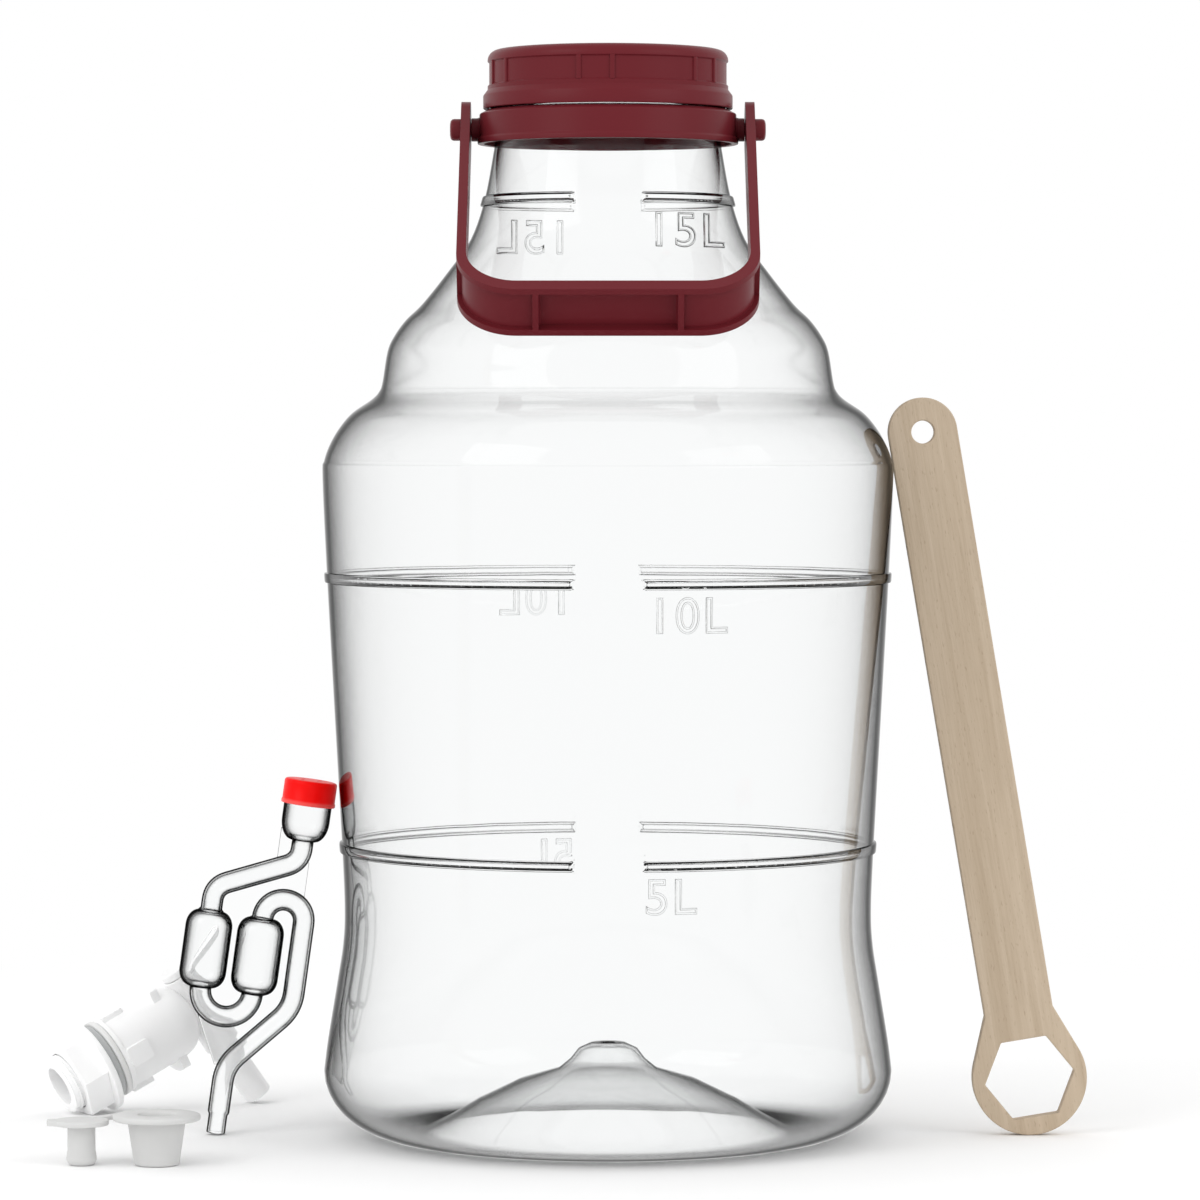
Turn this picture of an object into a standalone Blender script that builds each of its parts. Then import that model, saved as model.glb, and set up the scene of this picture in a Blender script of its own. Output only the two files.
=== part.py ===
"""A fifteen-litre clear plastic demijohn with its handle, screw cap, bubbler airlock, bung, tap and wrench.

The jar stands upright. The loose pieces of the kit stand beside it on the same floor: the airlock leans on the
jar's wall and so does the wrench, and the tap and the bung stand by themselves. Metres, +Z up, front at -Y.
"""

import math

import bmesh
import bpy
from mathutils import Matrix, Vector

MM = 0.001

# Clearances
GAP = 0.3 * MM
CUT_PAST = 2 * MM

# Jar, by its outer wall
FOOT_R = 88.3 * MM
FOOT_RING_W = 8.3 * MM
HEEL_R = 122.4 * MM
HEEL_Z = 28.6 * MM
WAIST_R = 113.5 * MM
BULGE_R = 122.8 * MM
BULGE_Z = 284 * MM
NECK_Z = 424.8 * MM
NECK_FLARE = 0.9 * MM
THREAD_ROOT_R = 48 * MM
NECK_H = 37.7 * MM
JAR_WALL = 1.2 * MM
MOUTH_WALL = 2.2 * MM

# Jar's base push-up
DOME_R = 77 * MM
DOME_Z = 27.6 * MM
NUB_R = 20.6 * MM
NUB_Z = 38.6 * MM
NUB_FLAT_R = 7 * MM
DIMPLE_R = 4 * MM
DIMPLE_DEPTH = 1 * MM

# Level ribs at five, ten and fifteen litres
RIB_ZS = (124.7 * MM, 240.8 * MM, 402.2 * MM)
RIB_HEIGHT = 4.5 * MM
RIB_PROUD = 1.2 * MM
RIB_GAP_HALF_W = 14.8 * MM

# Neck collar
COLLAR_OUT = 8 * MM
COLLAR_TOP_OUT = 4 * MM
COLLAR_LIFT = 2 * MM
COLLAR_H = 14.5 * MM
COLLAR_WALL = 2 * MM
COLLAR_LIP_H = 2.9 * MM
COLLAR_LIP_STEP = 0.8 * MM
COLLAR_CHAMFER_H = 1.8 * MM
NECK_BEAD_OUT = 3 * MM
NECK_BEAD_H = 2.4 * MM

# Studs that carry the bail
STUD_RISE = 6.2 * MM
STUD_R = 3 * MM
STUD_BOSS_R = 5 * MM
STUD_HEAD_R = 4.7 * MM
STUD_HEAD_T = 4.5 * MM

# Bail
BAIL_TO_COLLAR = 2.9 * MM
BAIL_THICK = 4 * MM
BAIL_WIDTH = 24 * MM
BAIL_REACH = 125 * MM
BAIL_CORNER_R = 21 * MM
BAIL_GRIP_T = 6 * MM
BAIL_FLANGE_T = 3 * MM
BAIL_POCKET_HALF_X = 29 * MM
BAIL_POCKET_DEPTH = 4.4 * MM
BAIL_POCKET_RIB = 2.2 * MM
BAIL_SIDE_POCKET_DEPTH = 2 * MM

# Screw cap and its seal
CAP_OUT = 3.7 * MM
CAP_SKIRT_WALL = 2 * MM
CAP_TO_COLLAR = 0.5 * MM
CAP_PLATE = 2.2 * MM
CAP_SIDE_WALL = 1.5 * MM
CAP_EDGE_R = 4.5 * MM
CAP_SKIRT_H = 5.8 * MM
CAP_FLARE_H = 2.4 * MM
CAP_PANEL_DEPTH = 0.7 * MM
CAP_PANEL_BAND_H = 2 * MM
CAP_RIB_W = 2 * MM
CAP_RIB_GROUPS = 6
CAP_RIB_SPREAD_DEG = 8
CAP_RIB_TURN_DEG = -6
CAP_HOLE_R = 11.5 * MM
SEAL_T = 1.5 * MM
SEAL_TO_MOUTH = 0.5 * MM

# Airlock, in its own frame: the stem's tip at the origin, the tube's plane is XZ
AIR_TUBE_R = 4.74 * MM
AIR_WALL = 1 * MM
AIR_TIP_R = 4.1 * MM
AIR_TIP_H = 8.2 * MM
AIR_STEM_H = 29.3 * MM
AIR_DOWN_X = 25.2 * MM
AIR_DOWN_Z0 = 57.7 * MM
AIR_TURN_Z = 95.2 * MM
AIR_OVER_R = 8.9 * MM
AIR_BULB_R = 10.2 * MM
AIR_BULB_Z0 = 61.8 * MM
AIR_BULB_ROUND = 7 * MM
AIR_LEFT_X = -15.1 * MM
AIR_RISER_H = 6.8 * MM
AIR_CUP_X = 20 * MM
AIR_CROSS_Z = (108.1 * MM, 118.9 * MM)
AIR_CROSS_X = (-9.8 * MM, 15 * MM)
AIR_CUP_Z0 = 130.3 * MM
AIR_CUP_TOP = 155.9 * MM
AIR_CUP_R = 10.4 * MM
AIR_CUP_ROUND = 9 * MM
AIR_WEB_T = 1.2 * MM
AIR_LEAN_DEG = 8

# Airlock's dust cap
DUST_WALL = 0.7 * MM
DUST_H = 10.7 * MM
DUST_LIP_H = 1.4 * MM
DUST_LIP_STEP = 0.3 * MM
DUST_VENT_R = 0.9 * MM
DUST_VENT_RING_R = 5 * MM
DUST_VENTS = 4

# Wrench, in its own frame: the hexagon's centre at the origin
WRENCH_RING_R = 24.7 * MM
WRENCH_HALF_W = 14.85 * MM
WRENCH_SPAN = 282.4 * MM
WRENCH_T = 8 * MM
WRENCH_HEX_AF = 33.8 * MM
WRENCH_HANG_R = 4.95 * MM
WRENCH_NECK_Z = 29.3 * MM
WRENCH_LEAN_DEG = 9.5

# Tap, in its own frame: barrel along +X from the shoulder that seals on a wall
TAP_STUB_R = 13.2 * MM
TAP_STUB_LEN = 27 * MM
TAP_BORE_R = 9 * MM
TAP_BARREL_R = 16.85 * MM
TAP_BARREL_LEN = 30 * MM
TAP_COLLAR_R = 18 * MM
TAP_COLLAR_LEN = 2.4 * MM
TAP_LUG_LEN = 11 * MM
TAP_LUG_W = 9 * MM
TAP_LUG_PROUD = 1.7 * MM
TAP_EAR_R = 21.5 * MM
TAP_EAR_HALF_W = 9.5 * MM
TAP_EAR_T = 4 * MM
TAP_DOME_LEN = 11 * MM
TAP_KEY_X = 47 * MM
TAP_KEY_TILT_DEG = 10
TAP_CHAMBER_TOP = 17.5 * MM
TAP_CHAMBER_BOTTOM = 21 * MM
TAP_CHAMBER_TOP_R = 6.8 * MM
TAP_CHAMBER_BOTTOM_R = 8.3 * MM
TAP_CHAMBER_WALL = 1.6 * MM
TAP_PORT_R = 4 * MM
TAP_SPOUT_R = 6.4 * MM
TAP_SPOUT_WALL = 1.3 * MM
TAP_SPOUT_LEN = 30 * MM
TAP_KNOB_R = 6.2 * MM
TAP_KNOB_H = 3.4 * MM
TAP_LEVER_LEN = 32 * MM
TAP_LEVER_ROOT_W = 7 * MM
TAP_LEVER_END_W = 12 * MM
TAP_LEVER_T = 3.2 * MM
TAP_LEVER_RIM = 1.3 * MM
TAP_LEVER_RECESS = 0.8 * MM
TAP_TURN_DEG = 28
TAP_FLOOR_X = -222 * MM
TAP_FLOOR_Y = 78 * MM

# Tap's nut and washers
NUT_AF = 32.9 * MM
NUT_HEX_T = 12 * MM
NUT_FLANGE_R = 21.5 * MM
NUT_FLANGE_T = 3 * MM
WASHER_WHITE_R = 18.2 * MM
WASHER_WHITE_T = 2.4 * MM
WASHER_GREY_R = 17.6 * MM
WASHER_GREY_T = 3 * MM
NUT_TO_WASHER = 1 * MM

# Bung, plug and strap
BUNG_H = 21 * MM
BUNG_FLANGE_R = 18.2 * MM
BUNG_FLANGE_T = 2.6 * MM
BUNG_TOP_R = 12.1 * MM
BUNG_BOTTOM_R = 9.5 * MM
BUNG_MOUTH_R = 7.85 * MM
BUNG_BORE_R = 4.1 * MM
PLUG_DISC_R = 11.35 * MM
PLUG_DISC_T = 2.2 * MM
PLUG_TAB = 3 * MM
PLUG_STEM_R = 5.8 * MM
PLUG_BULGE_R = 6.3 * MM
PLUG_H = 18.6 * MM
PLUG_SIDE_GAP = 1.6 * MM
STRAP_W = 4 * MM
STRAP_T = 1.8 * MM
STRAP_BACK = 23 * MM
STRAP_END_DEG = 65
BUNG_X = -187 * MM
BUNG_Y = -98 * MM

# How finely round shapes are cut
JAR_SIDES = 32
CAP_SIDES = 36
TUBE_SIDES = 8
SMALL_SIDES = 20
ARC_STEPS = 4

# The lower wall from heel to bulge: share of the height, share of the bulge's swell over the waist
LOWER_WALL_SHARES = (
    (0, 0.957), (0.054, 0.77), (0.158, 0.301), (0.212, 0.075), (0.266, 0),
    (0.36, 0.09), (0.6, 0.45), (0.84, 0.806), (1, 1),
)
# The shoulder from bulge to neck: share of the height, share of the radius left above the neck's
SHOULDER_SHARES = (
    (0.05, 0.99), (0.1, 0.955), (0.15, 0.9), (0.195, 0.825), (0.235, 0.715), (0.26, 0.670),
    (0.29, 0.650), (0.382, 0.621), (0.430, 0.581), (0.479, 0.513), (0.528, 0.417), (0.626, 0.268),
    (0.724, 0.137), (0.847, 0.055), (1, 0),
)


# Radii about the neck, all from the root of its thread
NECK_R = THREAD_ROOT_R + NECK_FLARE
NECK_BEAD_R = THREAD_ROOT_R + NECK_BEAD_OUT
COLLAR_R = THREAD_ROOT_R + COLLAR_OUT
COLLAR_TOP_R = THREAD_ROOT_R + COLLAR_TOP_OUT
BAIL_IN_X = COLLAR_R + BAIL_TO_COLLAR
CAP_R = THREAD_ROOT_R + CAP_OUT
CAP_SKIRT_R = NECK_BEAD_R + GAP * 2 + CAP_SKIRT_WALL

# Heights up the neck, each from the one below it
COLLAR_Z0 = NECK_Z + COLLAR_LIFT
COLLAR_Z1 = COLLAR_Z0 + COLLAR_H
STUD_Z = COLLAR_Z0 + STUD_RISE
MOUTH_Z = NECK_Z + NECK_H
CAP_BOTTOM_Z = COLLAR_Z1 + CAP_TO_COLLAR
CAP_TOP_Z = MOUTH_Z + SEAL_TO_MOUTH + SEAL_T + GAP + CAP_PLATE


def clear_scene():
    for thing in list(bpy.data.objects):
        bpy.data.objects.remove(thing, do_unlink=True)


def finish(name, colour, roughness, metallic=0.0, clear=0.0):
    """One moulded material: its colour, its roughness and how clear it is."""
    material = bpy.data.materials.new(name)
    material.use_nodes = True
    shader = material.node_tree.nodes["Principled BSDF"]
    shader.inputs["Base Color"].default_value = (*colour, 1)
    shader.inputs["Roughness"].default_value = roughness
    shader.inputs["Metallic"].default_value = metallic
    shader.inputs["Transmission Weight"].default_value = clear
    material.diffuse_color = (*colour, 1)
    return material


def add_object(name, bm, material=None, parent=None, smooth_deg=35):
    """Turns a bmesh into an object whose faces point outwards."""
    bmesh.ops.remove_doubles(bm, verts=bm.verts, dist=GAP / 100)
    bmesh.ops.recalc_face_normals(bm, faces=bm.faces)
    mesh = bpy.data.meshes.new(name)
    bm.to_mesh(mesh)
    bm.free()
    mesh.shade_smooth()
    mesh.set_sharp_from_angle(angle=math.radians(smooth_deg))
    thing = bpy.data.objects.new(name, mesh)
    bpy.context.scene.collection.objects.link(thing)
    if material:
        mesh.materials.append(material)
    thing.parent = parent
    return thing


def add_empty(name, location=(0, 0, 0), turn=None, parent=None):
    holder = bpy.data.objects.new(name, None)
    bpy.context.scene.collection.objects.link(holder)
    holder.parent = parent
    holder.matrix_basis = Matrix.Translation(location) @ (turn or Matrix())
    return holder


def combine(target, other, operation):
    """Cuts or joins with a Boolean; the other shape becomes a hidden guide."""
    other.hide_render = True
    other.display_type = "WIRE"
    other.parent = target.parent if other.parent is None else other.parent
    step = target.modifiers.new(other.name, "BOOLEAN")
    step.operation = operation
    step.solver = "EXACT"
    step.object = other


def turned(profile, sides, axis="Z"):
    """A solid of revolution. The profile is (radius, height) points, closed by itself or by the axis."""
    bm = bmesh.new()
    points = [Vector((radius, 0, height)) for radius, height in profile]
    verts = [bm.verts.new(point) for point in points]
    edges = [bm.edges.new(pair) for pair in zip(verts, verts[1:])]
    if profile[0][0] > 0 or profile[-1][0] > 0:
        edges.append(bm.edges.new((verts[-1], verts[0])))
    bmesh.ops.spin(bm, geom=verts + edges, cent=(0, 0, 0), axis=(0, 0, 1),
                   angle=math.tau, steps=sides, use_merge=True)
    bmesh.ops.remove_doubles(bm, verts=bm.verts, dist=GAP / 100)
    if axis == "X":
        bmesh.ops.rotate(bm, verts=bm.verts, matrix=Matrix.Rotation(math.pi / 2, 3, "Y"))
    return bm


def slab(outline, low, high, normal="Y"):
    """A flat outline given a thickness. Outlines lie in XZ for normal Y, and in YZ for normal X."""
    bm = bmesh.new()
    if normal == "Y":
        corners = [(u, low, v) for u, v in outline]
        push = (0, high - low, 0)
    elif normal == "X":
        corners = [(low, u, v) for u, v in outline]
        push = (high - low, 0, 0)
    else:
        corners = [(u, v, low) for u, v in outline]
        push = (0, 0, high - low)
    face = bm.faces.new([bm.verts.new(corner) for corner in corners])
    grown = bmesh.ops.extrude_face_region(bm, geom=[face])
    moved = [part for part in grown["geom"] if isinstance(part, bmesh.types.BMVert)]
    bmesh.ops.translate(bm, verts=moved, vec=push)
    bmesh.ops.recalc_face_normals(bm, faces=bm.faces)
    return bm


def arc(centre, radius, start_deg, end_deg, steps=ARC_STEPS):
    """Points along an arc in a plane, both ends included."""
    points = []
    for step in range(steps + 1):
        angle = math.radians(start_deg + (end_deg - start_deg) * step / steps)
        points.append((centre[0] + radius * math.cos(angle), centre[1] + radius * math.sin(angle)))
    return points


def circle(centre, radius, sides=SMALL_SIDES):
    return arc(centre, radius, 0, 360 - 360 / sides, sides - 1)


def offset_line(points, distance):
    """The same open line moved to its left by a wall's thickness."""
    moved = []
    for index, point in enumerate(points):
        before = Vector(points[max(index - 1, 0)])
        after = Vector(points[min(index + 1, len(points) - 1)])
        along = (after - before).normalized()
        moved.append((point[0] - along.y * distance, point[1] + along.x * distance))
    return moved


def jar_wall():
    """The jar's outer wall from heel to neck as (radius, height) points."""
    points = []
    for height_share, swell_share in LOWER_WALL_SHARES:
        points.append((WAIST_R + (BULGE_R - WAIST_R) * swell_share,
                       HEEL_Z + (BULGE_Z - HEEL_Z) * height_share))
    for height_share, left_share in SHOULDER_SHARES:
        points.append((NECK_R + (BULGE_R - NECK_R) * left_share,
                       BULGE_Z + (NECK_Z - BULGE_Z) * height_share))
    return points


def wall_radius(height):
    """The jar's outer radius at a height, between heel and neck."""
    points = jar_wall()
    for low, high in zip(points, points[1:]):
        if low[1] <= height <= high[1]:
            share = (height - low[1]) / (high[1] - low[1])
            return low[0] + (high[0] - low[0]) * share
    return points[0][0] if height < points[0][1] else points[-1][0]


def make_jar(parent, clear_pet):
    """The blow-moulded jar: one thin wall from the push-up base to the mouth, open at the top."""
    dome = [(0, NUB_Z - DIMPLE_DEPTH), (DIMPLE_R, NUB_Z - DIMPLE_DEPTH), (DIMPLE_R, NUB_Z),
            (NUB_FLAT_R, NUB_Z)]
    nub_rise = NUB_Z - DOME_Z
    dome += [(NUB_FLAT_R + (NUB_R - NUB_FLAT_R) * share, NUB_Z - nub_rise * drop)
             for share, drop in ((0.35, 0.2), (0.6, 0.6), (1, 1))]
    dome += [(NUB_R + (DOME_R - NUB_R) * share, DOME_Z * left)
             for share, left in ((0.3, 0.82), (0.6, 0.52), (0.85, 0.2), (1, 0.04))]
    heel_in_r = FOOT_R - FOOT_RING_W
    heel = [(heel_in_r, 0)]
    heel += [(FOOT_R + (HEEL_R - FOOT_R) * math.sin(turn), HEEL_Z * (1 - math.cos(turn)))
             for turn in (math.radians(90 * step / ARC_STEPS) for step in range(ARC_STEPS))]
    bead_z = COLLAR_Z1 + GAP
    groove_z = COLLAR_Z1 - COLLAR_WALL - GAP
    neck = [(THREAD_ROOT_R, groove_z - NECK_BEAD_H * 2), (NECK_BEAD_R, groove_z - NECK_BEAD_H),
            (NECK_BEAD_R, groove_z), (THREAD_ROOT_R, groove_z), (THREAD_ROOT_R, bead_z),
            (NECK_BEAD_R, bead_z), (NECK_BEAD_R, bead_z + NECK_BEAD_H),
            (THREAD_ROOT_R, bead_z + NECK_BEAD_H * 1.5), (THREAD_ROOT_R, MOUTH_Z)]
    walls = dome + heel + jar_wall()
    inner = offset_line(walls, JAR_WALL)
    floor_count = len(dome) + len(heel)
    bulge_count = floor_count + len(LOWER_WALL_SHARES)
    inner = inner[4:bulge_count:2] + inner[bulge_count:]
    inner = [(0, NUB_Z + JAR_WALL), (NUB_FLAT_R, NUB_Z + JAR_WALL)] + inner
    mouth = [(THREAD_ROOT_R - MOUTH_WALL, MOUTH_Z), (THREAD_ROOT_R - MOUTH_WALL, groove_z - NECK_BEAD_H * 2)]
    profile = walls + neck + mouth + list(reversed(inner))
    jar = add_object("jar_body", turned(profile, JAR_SIDES), clear_pet, parent)
    for index, height in enumerate(RIB_ZS):
        wall_r = wall_radius(height)
        low, high = height - RIB_HEIGHT / 2, height + RIB_HEIGHT / 2
        low_r, high_r = wall_radius(low), wall_radius(high)
        ring = [(low_r - JAR_WALL / 2, low), (wall_r + RIB_PROUD, height - RIB_HEIGHT / 4),
                (wall_r + RIB_PROUD, height + RIB_HEIGHT / 4), (high_r - JAR_WALL / 2, high)]
        rib = add_object(f"rib_guide_{index}", turned(ring, JAR_SIDES), None, parent)
        reach = wall_r + RIB_PROUD + CUT_PAST
        front_back = [(-RIB_GAP_HALF_W, low - CUT_PAST), (RIB_GAP_HALF_W, low - CUT_PAST),
                      (RIB_GAP_HALF_W, high + CUT_PAST), (-RIB_GAP_HALF_W, high + CUT_PAST)]
        gap_guide = add_object(f"rib_gap_guide_{index}", slab(front_back, -reach, reach), None, parent)
        combine(rib, gap_guide, "DIFFERENCE")
        combine(jar, rib, "UNION")
    return jar


def make_collar(parent, burgundy):
    """The ring under the neck's bead, hollow below, with a headed stud on each side for the bail."""
    bore_r = THREAD_ROOT_R + GAP * 2
    profile = [
        (bore_r, COLLAR_Z1 - COLLAR_WALL), (bore_r, COLLAR_Z1), (COLLAR_TOP_R, COLLAR_Z1),
        (COLLAR_R - COLLAR_LIP_STEP, COLLAR_Z1 - COLLAR_CHAMFER_H),
        (COLLAR_R - COLLAR_LIP_STEP, COLLAR_Z0 + COLLAR_LIP_H),
        (COLLAR_R, COLLAR_Z0 + COLLAR_LIP_H - COLLAR_LIP_STEP), (COLLAR_R, COLLAR_Z0),
        (COLLAR_R - COLLAR_WALL * 1.4, COLLAR_Z0),
        (COLLAR_R - COLLAR_WALL * 1.4, COLLAR_Z1 - COLLAR_WALL),
    ]
    collar = add_object("neck_collar", turned(profile, CAP_SIDES), burgundy, parent)
    root_x = COLLAR_R - COLLAR_LIP_STEP - COLLAR_WALL / 2
    boss_end = BAIL_IN_X - GAP
    leg_out = BAIL_IN_X + BAIL_THICK + GAP
    for side, turn in (("right", 1), ("left", -1)):
        stud = [(0, root_x), (STUD_BOSS_R, root_x), (STUD_BOSS_R, boss_end), (STUD_R, boss_end),
                (STUD_R, leg_out), (STUD_HEAD_R, leg_out),
                (STUD_HEAD_R, leg_out + STUD_HEAD_T * 0.75), (STUD_HEAD_R * 0.8, leg_out + STUD_HEAD_T),
                (0, leg_out + STUD_HEAD_T)]
        bm = turned(stud, SMALL_SIDES // 2, "X")
        bmesh.ops.scale(bm, verts=bm.verts, vec=(turn, 1, 1))
        bmesh.ops.translate(bm, verts=bm.verts, vec=(0, 0, STUD_Z))
        combine(collar, add_object(f"stud_guide_{side}", bm, None, parent), "UNION")
    return collar


def bail_line(inset, bottom, corner_r):
    """Half of the bail's contour in its own plane, from the top of a leg to the middle of the grip."""
    side_x = BAIL_IN_X + inset
    corner = (side_x - corner_r, -(bottom - corner_r))
    return [(side_x, BAIL_WIDTH / 2)] + arc(corner, corner_r, 0, -90) + [(0, -bottom)]


def bail_band(outer, inner):
    """A closed outline between two half contours, mirrored to the whole U."""
    def whole(half):
        return half + [(-x, z) for x, z in reversed(half[:-1])]
    return whole(outer) + list(reversed(whole(inner)))


def bail_rest_angle():
    """The lean at which the bail's back edge comes to rest on the shoulder."""
    back = Vector((BAIL_WIDTH / 2, BAIL_REACH))
    for tenth in range(200, 900):
        lean = math.radians(tenth / 10)
        out = back.y * math.sin(lean) - back.x * math.cos(lean)
        drop = back.y * math.cos(lean) + back.x * math.sin(lean)
        if out > wall_radius(STUD_Z - drop) + GAP * 2:
            return lean
    return math.radians(90)


def make_bail(parent, burgundy):
    """The carrying handle: a wide strap bent to a U that hangs on the studs and rests on the shoulder."""
    lean = bail_rest_angle()
    pivot = add_empty("bail_pivot", (0, 0, STUD_Z), Matrix.Rotation(-lean, 4, "X"), parent)
    thin_out = bail_line(BAIL_THICK, BAIL_REACH + BAIL_GRIP_T, BAIL_CORNER_R + BAIL_THICK)
    outline = bail_band(thin_out, bail_line(0, BAIL_REACH, BAIL_CORNER_R))
    half_w = BAIL_WIDTH / 2
    bail = add_object("bail", slab(outline, -half_w, half_w), burgundy, pivot)
    eye = arc((0, 0), half_w, 0, 180, ARC_STEPS * 2)
    side = [(half_w, -(BAIL_REACH + BAIL_GRIP_T + CUT_PAST))] + eye
    side += [(-half_w, -(BAIL_REACH + BAIL_GRIP_T + CUT_PAST))]
    side = [(u * (1 + GAP / half_w), v) for u, v in side]
    span = BAIL_IN_X + BAIL_THICK + CUT_PAST
    combine(bail, add_object("eye_guide", slab(side, -span, span, "X"), None, pivot), "INTERSECT")
    hole = turned([(0, -span), (STUD_R + GAP, -span), (STUD_R + GAP, span), (0, span)], SMALL_SIDES // 2, "X")
    combine(bail, add_object("stud_hole_guide", hole, None, pivot), "DIFFERENCE")
    pocket_half_w = half_w - BAIL_FLANGE_T
    low = -(BAIL_REACH + BAIL_GRIP_T)
    pocket = [(-BAIL_POCKET_HALF_X, low - CUT_PAST), (BAIL_POCKET_HALF_X, low - CUT_PAST),
              (BAIL_POCKET_HALF_X, low + BAIL_POCKET_DEPTH), (-BAIL_POCKET_HALF_X, low + BAIL_POCKET_DEPTH)]
    combine(bail, add_object("grip_pocket_guide", slab(pocket, -pocket_half_w, pocket_half_w), None, pivot),
            "DIFFERENCE")
    for side_name, turn in (("right", 1), ("left", -1)):
        past = CUT_PAST
        outer = bail_line(BAIL_THICK + past, BAIL_REACH + BAIL_GRIP_T + past, BAIL_CORNER_R + BAIL_THICK + past)
        cut = BAIL_SIDE_POCKET_DEPTH
        inner = bail_line(BAIL_THICK - cut, BAIL_REACH + BAIL_GRIP_T - cut, BAIL_CORNER_R + BAIL_THICK - cut)
        rib_x = BAIL_POCKET_HALF_X + BAIL_POCKET_RIB
        outer = outer[1:-1] + [(rib_x, outer[-1][1])]
        inner = inner[1:-1] + [(rib_x, inner[-1][1])]
        crescent = [(x * turn, z) for x, z in outer + list(reversed(inner))]
        guide = add_object(f"side_pocket_guide_{side_name}",
                           slab(crescent, -pocket_half_w, pocket_half_w), None, pivot)
        combine(bail, guide, "DIFFERENCE")
    return bail


def make_cap(parent, burgundy, seal_white):
    """The screw cap with its ribbed side and its bung hole, and the sealing disc inside it."""
    plate_z = CAP_TOP_Z - CAP_PLATE
    panel_r = CAP_R - CAP_PANEL_DEPTH
    flare_z = CAP_BOTTOM_Z + CAP_SKIRT_H
    panel_z0 = flare_z + CAP_FLARE_H + CAP_PANEL_BAND_H
    panel_z1 = CAP_TOP_Z - CAP_EDGE_R
    edge = arc((CAP_R - CAP_EDGE_R, CAP_TOP_Z - CAP_EDGE_R), CAP_EDGE_R, 90, 0)
    skirt_in = NECK_BEAD_R + GAP * 2
    profile = [(CAP_HOLE_R, plate_z), (CAP_HOLE_R, CAP_TOP_Z)] + edge
    profile += [(panel_r, panel_z1 - CAP_PANEL_DEPTH), (panel_r, panel_z0 + CAP_PANEL_DEPTH), (CAP_R, panel_z0),
                (CAP_R, flare_z + CAP_FLARE_H), (CAP_SKIRT_R, flare_z), (CAP_SKIRT_R, CAP_BOTTOM_Z),
                (skirt_in, CAP_BOTTOM_Z), (skirt_in, flare_z),
                (CAP_R - CAP_SIDE_WALL - CAP_PANEL_DEPTH, flare_z + CAP_FLARE_H),
                (CAP_R - CAP_SIDE_WALL - CAP_PANEL_DEPTH, plate_z)]
    cap = add_object("screw_cap", turned(profile, CAP_SIDES), burgundy, parent)
    bm = bmesh.new()
    for group in range(CAP_RIB_GROUPS):
        for side in (1, -1):
            middle = CAP_RIB_TURN_DEG - 90 + 360 * group / CAP_RIB_GROUPS
            angle = math.radians(middle + side * CAP_RIB_SPREAD_DEG)
            size = (CAP_PANEL_DEPTH * 2, CAP_RIB_W, panel_z1 - panel_z0 + CAP_PANEL_DEPTH)
            place = Matrix.Rotation(angle, 4, "Z") @ Matrix.Translation(
                (CAP_R - CAP_PANEL_DEPTH, 0, (panel_z0 + panel_z1) / 2))
            bmesh.ops.create_cube(bm, size=1, matrix=place @ Matrix.Diagonal((*size, 1)))
    combine(cap, add_object("cap_rib_guide", bm, None, parent), "UNION")
    seal_z = plate_z - GAP
    seal_r = THREAD_ROOT_R + GAP
    ring = [(CAP_HOLE_R, seal_z - SEAL_T), (CAP_HOLE_R, seal_z), (seal_r, seal_z), (seal_r, seal_z - SEAL_T)]
    add_object("cap_seal", turned(ring, CAP_SIDES), seal_white, parent)
    return cap


def rounded(corners, radius, steps=ARC_STEPS):
    """An open line whose inner corners are rounded off."""
    points = [Vector(corners[0])]
    for before, corner, after in zip(corners, corners[1:], corners[2:]):
        before, corner, after = Vector(before), Vector(corner), Vector(after)
        start = corner + (before - corner).normalized() * radius
        end = corner + (after - corner).normalized() * radius
        for step in range(steps + 1):
            share = step / steps
            points.append(start.lerp(corner, share).lerp(corner.lerp(end, share), share))
    points.append(Vector(corners[-1]))
    return [(point.x, point.y) for point in points]


def bulb(x, z_from, z_to):
    """Stations through one bulb of the airlock as (x, z, outer radius)."""
    up = 1 if z_to > z_from else -1
    swell = AIR_BULB_R - AIR_TUBE_R
    quarter = [math.radians(90 * step / ARC_STEPS) for step in range(ARC_STEPS + 1)]
    lower = [(x, z_from + up * AIR_BULB_ROUND * (1 - math.cos(turn)), AIR_TUBE_R + swell * math.sin(turn))
             for turn in quarter]
    upper = [(x, z_to - up * AIR_BULB_ROUND * (1 - math.cos(turn)), AIR_TUBE_R + swell * math.sin(turn))
             for turn in reversed(quarter)]
    return lower + upper


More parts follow.
